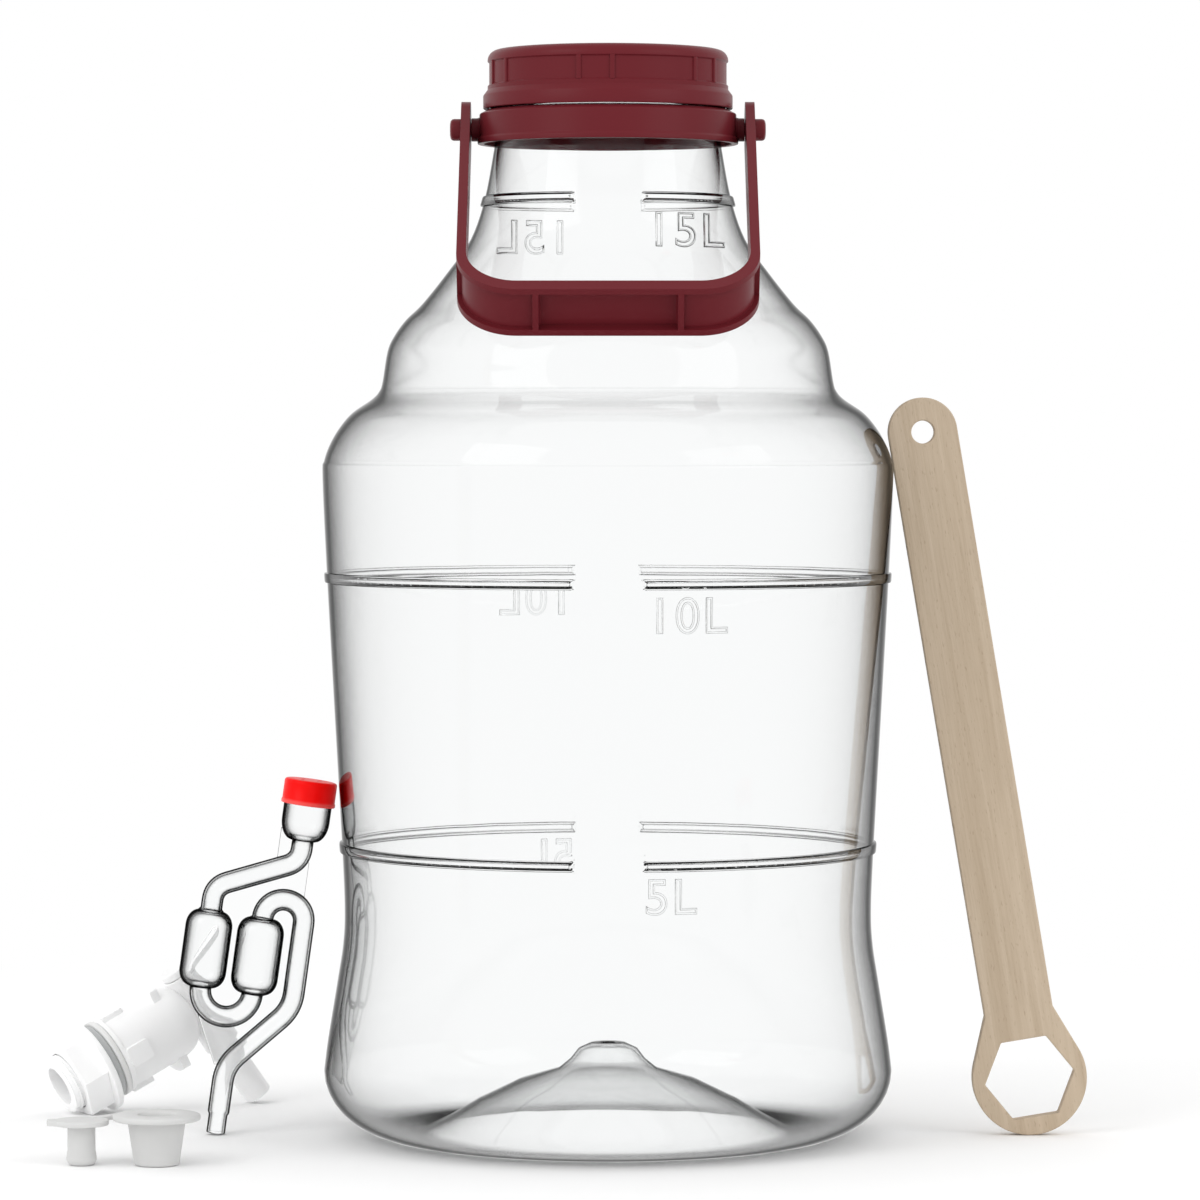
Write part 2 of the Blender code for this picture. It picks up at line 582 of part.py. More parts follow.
def airlock_stations():
    """The airlock's one long duct, from the stem's tip to the cup's rim, as (x, z, outer radius)."""
    over_x = AIR_DOWN_X - AIR_OVER_R
    right_x = over_x - AIR_OVER_R
    bend_x = (right_x + AIR_LEFT_X) / 2
    bend_r = (right_x - AIR_LEFT_X) / 2
    stations = [(0, 0, AIR_TIP_R), (0, AIR_TIP_H, AIR_TIP_R)]
    stem = [(0, AIR_TIP_H + AIR_WALL), (0, AIR_STEM_H), (AIR_DOWN_X, AIR_DOWN_Z0), (AIR_DOWN_X, AIR_TURN_Z)]
    stations += [(x, z, AIR_TUBE_R) for x, z in rounded(stem, AIR_TUBE_R)]
    over = arc((over_x, AIR_TURN_Z), AIR_OVER_R, 0, 180, ARC_STEPS * 2)
    stations += [(x, z, AIR_TUBE_R) for x, z in over[1:-1]]
    stations += bulb(right_x, AIR_TURN_Z, AIR_BULB_Z0)
    under = arc((bend_x, AIR_BULB_Z0), bend_r, 0, -180, ARC_STEPS * 2)
    stations += [(x, z, AIR_TUBE_R) for x, z in under[1:-1]]
    stations += bulb(AIR_LEFT_X, AIR_BULB_Z0, AIR_TURN_Z)
    cross = [(AIR_LEFT_X, AIR_TURN_Z + AIR_WALL), (AIR_LEFT_X, AIR_CROSS_Z[0] - AIR_TUBE_R / 2),
             (AIR_CUP_X, AIR_CROSS_Z[1] + AIR_TUBE_R / 2), (AIR_CUP_X, AIR_CUP_Z0)]
    stations += [(x, z, AIR_TUBE_R) for x, z in rounded(cross, AIR_TUBE_R)]
    swell = AIR_CUP_R - AIR_TUBE_R
    for step in range(1, ARC_STEPS + 1):
        turn = math.radians(90 * step / ARC_STEPS)
        stations.append((AIR_CUP_X, AIR_CUP_Z0 + AIR_CUP_ROUND * (1 - math.cos(turn)),
                         AIR_TUBE_R + swell * math.sin(turn)))
    stations.append((AIR_CUP_X, AIR_CUP_TOP, AIR_CUP_R))
    return stations


def duct(stations, thinner=0.0, past=0.0):
    """A round duct through its stations, each a ring square to the line, closed at both ends."""
    places = [Vector((x, 0, z)) for x, z, radius in stations]
    if past:
        places[0] -= (places[1] - places[0]).normalized() * past
        places[-1] += (places[-1] - places[-2]).normalized() * past
    bm = bmesh.new()
    rings = []
    for index, place in enumerate(places):
        before, after = places[max(index - 1, 0)], places[min(index + 1, len(places) - 1)]
        along = (after - before).normalized()
        across = Vector((0, 1, 0)).cross(along)
        radius = stations[index][2] - thinner
        ring = []
        for side in range(TUBE_SIDES):
            angle = math.tau * (side + 0.5) / TUBE_SIDES
            ring.append(bm.verts.new(place + Vector((0, 1, 0)) * radius * math.sin(angle)
                                     + across * radius * math.cos(angle)))
        rings.append(ring)
    for low, high in zip(rings, rings[1:]):
        for side in range(TUBE_SIDES):
            follow = (side + 1) % TUBE_SIDES
            bm.faces.new((low[side], low[follow], high[follow], high[side]))
    bm.faces.new(list(reversed(rings[0])))
    bm.faces.new(rings[-1])
    return bm


def make_airlock(parent, clear_petg, red):
    """The S-shaped bubbler airlock, leaning on the jar, and its push-on dust cap."""
    lean = math.radians(AIR_LEAN_DEG)
    dust_r = AIR_CUP_R + GAP + DUST_WALL + DUST_LIP_STEP
    dust_z1 = AIR_CUP_TOP + GAP + DUST_WALL
    tip_lift = AIR_TIP_R * math.sin(lean)
    reaches = []
    for rim_z in (dust_z1 - DUST_H, dust_z1):
        rim = Vector((AIR_CUP_X + dust_r, rim_z))
        out = rim.x * math.cos(lean) + rim.y * math.sin(lean)
        height = tip_lift + rim.y * math.cos(lean) - rim.x * math.sin(lean)
        reaches.append(-(wall_radius(height) + GAP) - out)
    stand = add_empty("airlock_stand", (min(reaches), 0, tip_lift), Matrix.Rotation(lean, 4, "Y"), parent)
    stations = airlock_stations()
    body = add_object("airlock_body", duct(stations), clear_petg, stand)
    over_x = AIR_DOWN_X - AIR_OVER_R
    web = [(0, AIR_STEM_H), (-AIR_TUBE_R, AIR_STEM_H),
           (AIR_LEFT_X, AIR_BULB_Z0 - AIR_OVER_R - GAP * 8), (AIR_LEFT_X - AIR_TUBE_R / 2, AIR_BULB_Z0),
           (AIR_LEFT_X, AIR_TURN_Z), (AIR_LEFT_X, AIR_CROSS_Z[0]),
           (AIR_CUP_X / 2, (AIR_CROSS_Z[0] + AIR_CROSS_Z[1]) / 2), (AIR_CUP_X / 2, AIR_CUP_Z0 + AIR_TUBE_R),
           (AIR_CUP_X, AIR_CUP_Z0 + AIR_TUBE_R), (AIR_CUP_X, AIR_CROSS_Z[1] + AIR_TUBE_R),
           (AIR_DOWN_X - AIR_WEB_T, AIR_CROSS_Z[1] + AIR_TUBE_R / 2), (AIR_DOWN_X - AIR_WEB_T, AIR_TURN_Z),
           (AIR_DOWN_X, AIR_TURN_Z - AIR_WEB_T), (AIR_DOWN_X, AIR_DOWN_Z0)]
    combine(body, add_object("web_guide", slab(web, -AIR_WEB_T / 2, AIR_WEB_T / 2), None, stand), "UNION")
    inside = duct(stations, AIR_WALL, CUT_PAST)
    combine(body, add_object("duct_guide", inside, None, stand), "DIFFERENCE")
    cup_gap_r = AIR_CUP_R + GAP
    shell = [(0, dust_z1), (cup_gap_r + DUST_WALL - DUST_LIP_STEP, dust_z1),
             (cup_gap_r + DUST_WALL, dust_z1 - DUST_WALL), (cup_gap_r + DUST_WALL, dust_z1 - DUST_H + DUST_LIP_H),
             (dust_r, dust_z1 - DUST_H + DUST_LIP_H), (dust_r, dust_z1 - DUST_H), (cup_gap_r, dust_z1 - DUST_H),
             (cup_gap_r, dust_z1 - DUST_WALL), (0, dust_z1 - DUST_WALL)]
    bm = turned(shell, SMALL_SIDES)
    bmesh.ops.translate(bm, verts=bm.verts, vec=(AIR_CUP_X, 0, 0))
    dust = add_object("airlock_cap", bm, red, stand)
    vents = bmesh.new()
    for vent in range(DUST_VENTS):
        angle = math.tau * (vent + 0.5) / DUST_VENTS
        place = (AIR_CUP_X + DUST_VENT_RING_R * math.cos(angle), DUST_VENT_RING_R * math.sin(angle), dust_z1)
        bmesh.ops.create_cone(vents, cap_ends=True, segments=TUBE_SIDES // 2, radius1=DUST_VENT_R,
                              radius2=DUST_VENT_R, depth=CUT_PAST * 2, matrix=Matrix.Translation(place))
    combine(dust, add_object("vent_guide", vents, None, stand), "DIFFERENCE")
    return body


def make_wrench(parent, wood):
    """The flat wooden ring wrench for the tap's nut, standing on its ring and leaning on the jar's bulge."""
    lean = math.radians(WRENCH_LEAN_DEG)
    ring_z = WRENCH_RING_R
    reach = max(radius + (height - ring_z) * math.tan(lean) for radius, height in jar_wall())
    stand_x = reach + GAP + WRENCH_HALF_W / math.cos(lean)
    stand = add_empty("wrench_stand", (stand_x, 0, ring_z), Matrix.Rotation(-lean, 4, "Y"), parent)
    corner = Vector((WRENCH_HALF_W, WRENCH_NECK_Z))
    touch = math.degrees(math.atan2(corner.y, corner.x) - math.acos(WRENCH_RING_R / corner.length))
    outline = arc((0, 0), WRENCH_RING_R, 180 - touch, 360 + touch, ARC_STEPS * 4)
    outline += [(WRENCH_HALF_W, WRENCH_NECK_Z)]
    outline += arc((0, WRENCH_SPAN), WRENCH_HALF_W, 0, 180, ARC_STEPS * 2)
    outline += [(-WRENCH_HALF_W, WRENCH_NECK_Z)]
    wrench = add_object("wrench", slab(outline, -WRENCH_T / 2, WRENCH_T / 2), wood, stand)
    hexagon = circle((0, 0), WRENCH_HEX_AF / math.sqrt(3), 6)
    reach_y = WRENCH_T / 2 + CUT_PAST
    combine(wrench, add_object("hexagon_guide", slab(hexagon, -reach_y, reach_y), None, stand), "DIFFERENCE")
    hang = circle((0, WRENCH_SPAN), WRENCH_HANG_R, SMALL_SIDES)
    combine(wrench, add_object("hang_hole_guide", slab(hang, -reach_y, reach_y), None, stand), "DIFFERENCE")
    return wrench


def along_x(profile, sides=SMALL_SIDES):
    """Turns a profile of (radius, x) points about the tap's barrel axis."""
    return turned(profile, sides, "X")


def tap_rest():
    """The pitch at which the spout's tip and the nut's side touch the floor together, and the axis's height."""
    tilt = math.radians(TAP_KEY_TILT_DEG)
    drop = TAP_CHAMBER_BOTTOM + TAP_SPOUT_LEN
    tip = Vector((TAP_KEY_X + drop * math.sin(tilt), -drop * math.cos(tilt)))
    rim = Vector((math.cos(tilt), math.sin(tilt))) * TAP_SPOUT_R
    nut_x = -(WASHER_WHITE_T + WASHER_GREY_T + NUT_TO_WASHER + NUT_FLANGE_T + GAP * 2)
    threaded = [Vector((nut_x, -NUT_FLANGE_R)), Vector((nut_x - NUT_HEX_T, -NUT_AF / 2)),
                Vector((-TAP_STUB_LEN, -TAP_STUB_R))]
    for tenth in range(50, 600):
        pitch = math.radians(tenth / 10)

        def height(point):
            return point.x * math.sin(pitch) + point.y * math.cos(pitch)

        spout_low = min(height(tip - rim), height(tip + rim))
        threaded_low = min(height(point) for point in threaded)
        if spout_low >= threaded_low:
            return pitch, -min(spout_low, threaded_low)
    return 0, TAP_EAR_R


def make_tap(parent, tap_white, washer_grey):
    """The barrel tap with its nut, two washers and turning key, standing on its spout and its nut."""
    pitch, axis_z = tap_rest()
    turn = Matrix.Rotation(math.radians(TAP_TURN_DEG), 4, "Z") @ Matrix.Rotation(-pitch, 4, "Y")
    stand = add_empty("tap_stand", (TAP_FLOOR_X, TAP_FLOOR_Y, axis_z), turn, parent)
    tilt = math.radians(TAP_KEY_TILT_DEG)
    key_axis = add_empty("tap_key_axis", (TAP_KEY_X, 0, 0), Matrix.Rotation(-tilt, 4, "Y"), stand)
    barrel = [(0, -TAP_STUB_LEN), (TAP_STUB_R, -TAP_STUB_LEN), (TAP_STUB_R, 0), (TAP_COLLAR_R, 0),
              (TAP_COLLAR_R, TAP_COLLAR_LEN), (TAP_BARREL_R, TAP_COLLAR_LEN), (TAP_BARREL_R, TAP_BARREL_LEN)]
    fall = TAP_BARREL_R - TAP_CHAMBER_BOTTOM_R
    for step in range(1, ARC_STEPS):
        angle = math.radians(90 * step / ARC_STEPS)
        barrel.append((TAP_CHAMBER_BOTTOM_R + fall * math.cos(angle),
                       TAP_BARREL_LEN + TAP_DOME_LEN * math.sin(angle)))
    barrel += [(TAP_CHAMBER_BOTTOM_R, TAP_BARREL_LEN + TAP_DOME_LEN), (TAP_CHAMBER_BOTTOM_R * 0.8, TAP_KEY_X),
               (0, TAP_KEY_X)]
    body = add_object("tap_body", along_x(barrel), tap_white, stand)
    ear = [(y * TAP_EAR_R, z * TAP_EAR_R) for y, z in ((-1, -1), (1, -1), (1, 1), (-1, 1))]
    disc = circle((0, 0), TAP_EAR_R, SMALL_SIDES)
    ears = add_object("ear_guide", slab(disc, TAP_BARREL_LEN - TAP_EAR_T, TAP_BARREL_LEN - GAP, "X"), None, stand)
    strip = [(y / TAP_EAR_R * TAP_EAR_HALF_W, z * (1 + CUT_PAST / TAP_EAR_R)) for y, z in ear]
    slot = slab(strip, TAP_BARREL_LEN - TAP_EAR_T - CUT_PAST, TAP_BARREL_LEN + CUT_PAST, "X")
    combine(ears, add_object("ear_width_guide", slot, None, stand), "INTERSECT")
    combine(body, ears, "UNION")
    lugs = bmesh.new()
    for quarter in range(4):
        size = (TAP_LUG_LEN, TAP_LUG_W, (TAP_LUG_PROUD + TAP_BARREL_R - TAP_BORE_R) / 2)
        place = Matrix.Rotation(math.pi / 2 * quarter, 4, "X") @ Matrix.Translation(
            (TAP_COLLAR_LEN - GAP + TAP_LUG_LEN / 2, 0, TAP_BARREL_R + TAP_LUG_PROUD - size[2] / 2))
        bmesh.ops.create_cube(lugs, size=1, matrix=place @ Matrix.Diagonal((*size, 1)))
    combine(body, add_object("lug_guide", lugs, None, stand), "UNION")
    chamber = [(0, -TAP_CHAMBER_BOTTOM), (TAP_CHAMBER_BOTTOM_R, -TAP_CHAMBER_BOTTOM),
               (TAP_CHAMBER_TOP_R, TAP_CHAMBER_TOP), (0, TAP_CHAMBER_TOP)]
    combine(body, add_object("chamber_guide", turned(chamber, SMALL_SIDES), None, key_axis), "UNION")
    taper = (TAP_CHAMBER_BOTTOM_R - TAP_CHAMBER_TOP_R) / (TAP_CHAMBER_BOTTOM + TAP_CHAMBER_TOP)
    bore_low_r = TAP_CHAMBER_BOTTOM_R - TAP_CHAMBER_WALL + taper * CUT_PAST
    bore_high_r = TAP_CHAMBER_TOP_R - TAP_CHAMBER_WALL - taper * CUT_PAST
    bore = [(0, -TAP_CHAMBER_BOTTOM - CUT_PAST), (bore_low_r, -TAP_CHAMBER_BOTTOM - CUT_PAST),
            (bore_high_r, TAP_CHAMBER_TOP + CUT_PAST), (0, TAP_CHAMBER_TOP + CUT_PAST)]
    flow = [(0, -TAP_STUB_LEN - CUT_PAST), (TAP_BORE_R, -TAP_STUB_LEN - CUT_PAST), (TAP_BORE_R, TAP_BARREL_LEN),
            (TAP_PORT_R, TAP_BARREL_LEN + TAP_BORE_R - TAP_PORT_R), (TAP_PORT_R, TAP_KEY_X - GAP),
            (0, TAP_KEY_X - GAP)]
    combine(body, add_object("flow_bore_guide", along_x(flow), None, stand), "DIFFERENCE")
    combine(body, add_object("key_bore_guide", turned(bore, SMALL_SIDES), None, key_axis), "DIFFERENCE")
    make_tap_key(key_axis, tap_white, taper)
    make_tap_nut(stand, tap_white, washer_grey)
    return body


def make_tap_key(key_axis, tap_white, taper):
    """Lever, tapered plug and spout in one piece; the plug's side port meets the barrel's bore."""
    plug_low_r = TAP_CHAMBER_BOTTOM_R - TAP_CHAMBER_WALL - GAP
    plug_high_r = TAP_CHAMBER_TOP_R - TAP_CHAMBER_WALL - GAP
    knob_z = TAP_CHAMBER_TOP + GAP
    knob_top = knob_z + TAP_KNOB_H
    end_z = -TAP_CHAMBER_BOTTOM - TAP_SPOUT_LEN
    profile = [(0, end_z), (TAP_SPOUT_R, end_z), (plug_low_r, -TAP_CHAMBER_BOTTOM), (plug_high_r, TAP_CHAMBER_TOP),
               (plug_high_r - taper * GAP, knob_z), (TAP_KNOB_R, knob_z), (TAP_KNOB_R, knob_top - TAP_LEVER_RECESS),
               (TAP_KNOB_R - TAP_LEVER_RECESS, knob_top), (0, knob_top)]
    key = add_object("tap_key", turned(profile, SMALL_SIDES), tap_white, key_axis)
    half_root, half_end = TAP_LEVER_ROOT_W / 2, TAP_LEVER_END_W / 2
    end = arc((TAP_LEVER_LEN - half_end, 0), half_end, -90, 90, ARC_STEPS * 2)
    lever = [(TAP_KNOB_R / 2, -half_root)] + end + [(TAP_KNOB_R / 2, half_root)]
    blade = slab(lever, knob_z + GAP, knob_z + GAP + TAP_LEVER_T, "Z")
    combine(key, add_object("lever_guide", blade, None, key_axis), "UNION")
    inner_end = arc((TAP_LEVER_LEN - half_end, 0), half_end - TAP_LEVER_RIM, -90, 90, ARC_STEPS * 2)
    start_x = TAP_KNOB_R + TAP_LEVER_RIM
    dish = [(start_x, -half_root + TAP_LEVER_RIM)] + inner_end + [(start_x, half_root - TAP_LEVER_RIM)]
    dish_z = knob_z + GAP + TAP_LEVER_T - TAP_LEVER_RECESS
    combine(key, add_object("lever_dish_guide", slab(dish, dish_z, dish_z + CUT_PAST, "Z"), None, key_axis),
            "DIFFERENCE")
    spout_in_r = TAP_SPOUT_R - TAP_SPOUT_WALL
    passage = [(0, end_z - CUT_PAST), (spout_in_r, end_z - CUT_PAST), (spout_in_r, -TAP_CHAMBER_BOTTOM),
               (TAP_PORT_R, -TAP_CHAMBER_BOTTOM + TAP_SPOUT_R), (TAP_PORT_R, TAP_PORT_R), (0, TAP_PORT_R)]
    combine(key, add_object("spout_bore_guide", turned(passage, SMALL_SIDES), None, key_axis), "DIFFERENCE")
    port = [(0, -TAP_CHAMBER_BOTTOM_R), (TAP_PORT_R * 0.9, -TAP_CHAMBER_BOTTOM_R), (TAP_PORT_R * 0.9, 0), (0, 0)]
    combine(key, add_object("side_port_guide", along_x(port, TUBE_SIDES), None, key_axis), "DIFFERENCE")
    return key


def make_tap_nut(stand, tap_white, washer_grey):
    """The two washers against the barrel's shoulder, then the flanged hexagon nut."""
    hole_r = TAP_STUB_R + GAP
    white_x = -GAP - WASHER_WHITE_T
    grey_x = white_x - GAP - WASHER_GREY_T
    nut_x = grey_x - NUT_TO_WASHER
    flange_x = nut_x - NUT_FLANGE_T
    for name, radius, low, high, material in (
        ("tap_washer_white", WASHER_WHITE_R, white_x, -GAP, tap_white),
        ("tap_washer_grey", WASHER_GREY_R, grey_x, grey_x + WASHER_GREY_T, washer_grey),
    ):
        ring = [(hole_r, low), (hole_r, high), (radius, high), (radius, low)]
        add_object(name, along_x(ring), material, stand)
    flange = [(0, flange_x), (NUT_FLANGE_R, flange_x), (NUT_FLANGE_R, nut_x), (0, nut_x)]
    nut = add_object("tap_nut", along_x(flange, SMALL_SIDES), tap_white, stand)
    hexagon = circle((0, 0), NUT_AF / math.sqrt(3), 6)
    prism = slab(hexagon, flange_x - NUT_HEX_T, flange_x + NUT_FLANGE_T / 2, "X")
    combine(nut, add_object("nut_hexagon_guide", prism, None, stand), "UNION")
    bore = [(0, flange_x - NUT_HEX_T - CUT_PAST), (hole_r, flange_x - NUT_HEX_T - CUT_PAST),
            (hole_r, nut_x + CUT_PAST), (0, nut_x + CUT_PAST)]
    combine(nut, add_object("nut_bore_guide", along_x(bore), None, stand), "DIFFERENCE")
    return nut


def make_bung(parent, silicone):
    """The silicone bung, its plug and the strap between them, moulded flat and standing on the floor."""
    stand = add_empty("bung_stand", (BUNG_X, BUNG_Y, 0), None, parent)
    under_flange = BUNG_H - BUNG_FLANGE_T
    profile = [(BUNG_BORE_R, 0), (BUNG_BOTTOM_R - GAP * 4, 0), (BUNG_BOTTOM_R, GAP * 4), (BUNG_TOP_R, under_flange),
               (BUNG_FLANGE_R - GAP * 2, under_flange), (BUNG_FLANGE_R, under_flange + GAP * 2),
               (BUNG_FLANGE_R, BUNG_H - GAP * 2), (BUNG_FLANGE_R - GAP * 2, BUNG_H), (BUNG_MOUTH_R, BUNG_H),
               (BUNG_BORE_R, BUNG_H / 2)]
    bung = add_object("bung", turned(profile, SMALL_SIDES), silicone, stand)
    plug_x = -(BUNG_FLANGE_R + PLUG_SIDE_GAP + PLUG_DISC_R)
    disc_z = PLUG_H - PLUG_DISC_T
    stem = [(0, 0), (PLUG_STEM_R - GAP, 0), (PLUG_BULGE_R, PLUG_BULGE_R / 3), (PLUG_STEM_R, PLUG_BULGE_R),
            (PLUG_STEM_R, disc_z), (PLUG_DISC_R, disc_z), (PLUG_DISC_R, PLUG_H), (0, PLUG_H)]
    bm = turned(stem, SMALL_SIDES)
    bmesh.ops.translate(bm, verts=bm.verts, vec=(plug_x, 0, 0))
    plug = add_object("bung_plug", bm, silicone, stand)
    tab = [(plug_x - PLUG_DISC_R - PLUG_TAB, -PLUG_TAB), (plug_x, -PLUG_DISC_R * 0.8),
           (plug_x, 0), (plug_x - PLUG_DISC_R - PLUG_TAB, PLUG_TAB)]
    combine(plug, add_object("plug_tab_guide", slab(tab, disc_z, PLUG_H, "Z"), None, stand), "UNION")
    make_strap(stand, silicone, plug_x)
    return bung


def make_strap(stand, silicone, plug_x):
    """The strap, a band bent round the back and climbing from the plug's disc to the bung's flange."""
    angle = math.radians(STRAP_END_DEG)
    flange_r = BUNG_FLANGE_R + GAP
    disc_r = PLUG_DISC_R + GAP
    start = Vector((plug_x + disc_r * math.cos(angle), disc_r * math.sin(angle)))
    end = Vector((flange_r * math.cos(angle), flange_r * math.sin(angle)))
    top = (start + end) / 2 + Vector((0, STRAP_BACK - STRAP_W))
    line = []
    for step in range(ARC_STEPS * 2 + 1):
        share = step / (ARC_STEPS * 2)
        line.append(start.lerp(top, share).lerp(top.lerp(end, share), share))
    half = STRAP_W / 2
    left = offset_line([tuple(point) for point in line], half)
    right = offset_line([tuple(point) for point in line], -half)
    band_z = PLUG_H - PLUG_DISC_T
    bm = slab(left + list(reversed(right)), band_z, band_z + STRAP_T, "Z")
    climb = BUNG_H - BUNG_FLANGE_T - band_z
    for vert in bm.verts:
        share = (vert.co.x - start.x) / (end.x - start.x)
        vert.co.z += climb * min(1, max(0, share))
    strap = add_object("bung_strap", bm, silicone, stand)
    for name, centre_x, radius in (("bung_flange_guide", 0, flange_r), ("plug_disc_guide", plug_x, disc_r)):
        round_cut = slab(circle((centre_x, 0), radius, SMALL_SIDES), band_z - CUT_PAST, BUNG_H + CUT_PAST, "Z")
        combine(strap, add_object(name, round_cut, None, stand), "DIFFERENCE")
    return strap


def centre_on_floor(kit):
    """Moves the kit sideways so that its box stands centred on the origin."""
    bpy.context.view_layer.update()
    graph = bpy.context.evaluated_depsgraph_get()
    lows, highs = [], []
    for thing in bpy.data.objects:
        if thing.type == "MESH" and not thing.hide_render:
            shown = thing.evaluated_get(graph)
            corners = [shown.matrix_world @ vert.co for vert in shown.data.vertices]
            lows.append([min(corner[axis] for corner in corners) for axis in (0, 1)])
            highs.append([max(corner[axis] for corner in corners) for axis in (0, 1)])
    middle = [(min(low[axis] for low in lows) + max(high[axis] for high in highs)) / 2 for axis in (0, 1)]
    kit.matrix_basis = Matrix.Translation((-middle[0], -middle[1], 0))
    bpy.context.view_layer.update()


def main():
    clear_scene()
    clear_pet = finish("clear_pet", (0.92, 0.94, 0.95), 0.04, clear=1.0)
    clear_petg = finish("clear_petg", (0.93, 0.95, 0.96), 0.05, clear=1.0)
    burgundy = finish("burgundy_polypropylene", (0.16, 0.024, 0.032), 0.42)
    seal_white = finish("seal_foam", (0.85, 0.85, 0.83), 0.7)
    red = finish("red_polyethylene", (0.95, 0.01, 0.01), 0.35)
    tap_white = finish("white_polypropylene", (0.9, 0.9, 0.9), 0.4)
    washer_grey = finish("grey_silicone", (0.66, 0.66, 0.66), 0.55)
    silicone = finish("white_silicone", (0.78, 0.78, 0.77), 0.6)
    wood = finish("beech_plywood", (0.5, 0.39, 0.29), 0.6)
    kit = add_empty("kit")
    make_jar(kit, clear_pet)
    make_collar(kit, burgundy)
    make_bail(kit, burgundy)
    make_cap(kit, burgundy, seal_white)
    make_airlock(kit, clear_petg, red)
    make_wrench(kit, wood)
    make_tap(kit, tap_white, washer_grey)
    make_bung(kit, silicone)
    centre_on_floor(kit)


main()
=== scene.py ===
"""A clear plastic demijohn and its kit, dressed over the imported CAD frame: jar, handle, screw cap, airlock,
bung, tap and wrench. Every piece is made in the CAD's own metres and rides on a CAD body."""

import math

import bmesh
import bpy
from mathutils import Matrix, Vector


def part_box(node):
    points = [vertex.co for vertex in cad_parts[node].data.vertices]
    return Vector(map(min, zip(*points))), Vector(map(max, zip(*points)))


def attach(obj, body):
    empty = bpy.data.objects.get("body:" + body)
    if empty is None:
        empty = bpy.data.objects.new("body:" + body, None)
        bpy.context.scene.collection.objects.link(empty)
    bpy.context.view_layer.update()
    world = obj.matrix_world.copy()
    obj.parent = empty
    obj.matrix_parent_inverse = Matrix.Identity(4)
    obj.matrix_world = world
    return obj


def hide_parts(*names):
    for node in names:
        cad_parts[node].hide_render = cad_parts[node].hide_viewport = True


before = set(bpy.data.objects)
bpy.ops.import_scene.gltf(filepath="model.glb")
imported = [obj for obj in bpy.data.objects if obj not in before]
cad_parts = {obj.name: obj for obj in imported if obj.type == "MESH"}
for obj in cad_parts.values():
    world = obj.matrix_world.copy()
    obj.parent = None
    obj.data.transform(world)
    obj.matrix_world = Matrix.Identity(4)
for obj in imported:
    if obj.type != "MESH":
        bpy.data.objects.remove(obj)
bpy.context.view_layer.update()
bpy.context.scene.view_settings.view_transform = "Standard"

# The studio: a white floor that runs out of sight, an even white sky that glass and gloss see as well,
# and two broad soft lamps that give the pale plastics a little shape.
stage_mesh = bmesh.new()
floor_reach, floor_drop = 9, 0.0002
bmesh.ops.create_grid(stage_mesh, x_segments=1, y_segments=1, size=floor_reach)
floor_mesh = bpy.data.meshes.new("studio_floor")
stage_mesh.to_mesh(floor_mesh)
studio_floor = bpy.data.objects.new("studio_floor", floor_mesh)
studio_floor.location = (0, 0, -floor_drop)
bpy.context.scene.collection.objects.link(studio_floor)


class Shade:
    """A shader socket that takes part in sums; node() adds any other node of the same material."""

    def __init__(self, tree, socket=None):
        self.tree, self.socket = tree, socket

    def node(self, kind, settings, sockets, out=0):
        made = self.tree.nodes.new(kind)
        for name, value in settings.items():
            if name == "stops":
                ramp = made.color_ramp.elements
                while len(ramp) < len(value):
                    ramp.new(0.5)
                for stop, (place, colour) in zip(ramp, value):
                    stop.position, stop.color = place, colour
            else:
                setattr(made, name, value)
        for name, value in sockets.items():
            if isinstance(value, Shade):
                self.tree.links.new(value.socket, made.inputs[name])
            else:
                made.inputs[name].default_value = value
        return Shade(self.tree, made.outputs[out] if out is not None else None)

    def maths(self, operation, *values):
        return self.node("ShaderNodeMath", {"operation": operation}, dict(enumerate(values)))

    def __add__(self, other):
        return self.maths("ADD", self, other)

    __radd__ = __add__

    def __sub__(self, other):
        return self.maths("SUBTRACT", self, other)

    def __rsub__(self, other):
        return self.maths("SUBTRACT", other, self)

    def __mul__(self, other):
        return self.maths("MULTIPLY", self, other)

    __rmul__ = __mul__

    def __pow__(self, other):
        return self.maths("POWER", self, other)

    def blend(self, low, high):
        """A colour between two others by this value."""
        return self.node("ShaderNodeMix", {"data_type": "RGBA"}, {0: self, 6: low, 7: high}, 2)


def new_finish(name):
    """An empty material, and the Shade that fills it."""
    finish = bpy.data.materials.new(name)
    finish.use_nodes = True
    finish.node_tree.nodes.clear()
    return finish, Shade(finish.node_tree)


sky = bpy.data.worlds.new("studio_sky")
bpy.context.scene.world = sky
sky.use_nodes = True
sky.node_tree.nodes.clear()
sky_shade = Shade(sky.node_tree)
background = sky_shade.node("ShaderNodeBackground", {}, {"Color": (1, 1, 1, 1), "Strength": 1.0})
sky_shade.node("ShaderNodeOutputWorld", {}, {"Surface": background}, None)

# The floor keeps the shadows close to the object and is plain white further out. What is seen through the
# clear plastics or mirrored in them gets the same white.
shadow_to, white_from = 0.3, 0.8
floor_finish, sheet = new_finish("studio_floor")
pale = sheet.node("ShaderNodeBsdfDiffuse", {}, {"Color": (0.97, 0.97, 0.97, 1)})
ways = floor_finish.node_tree.nodes.new("ShaderNodeLightPath").outputs
mirrored, through = (Shade(floor_finish.node_tree, ways[name])
                     for name in ("Is Glossy Ray", "Is Transmission Ray"))
beyond = through.maths("MAXIMUM", through, mirrored)
bright = sheet.node("ShaderNodeEmission", {}, {"Color": (1, 1, 1, 1), "Strength": 1.0})
spot_on_floor = sheet.node("ShaderNodeTexCoord", {}, {}, "Object")
far = sheet.node("ShaderNodeVectorMath", {"operation": "LENGTH"}, {0: spot_on_floor}, "Value")
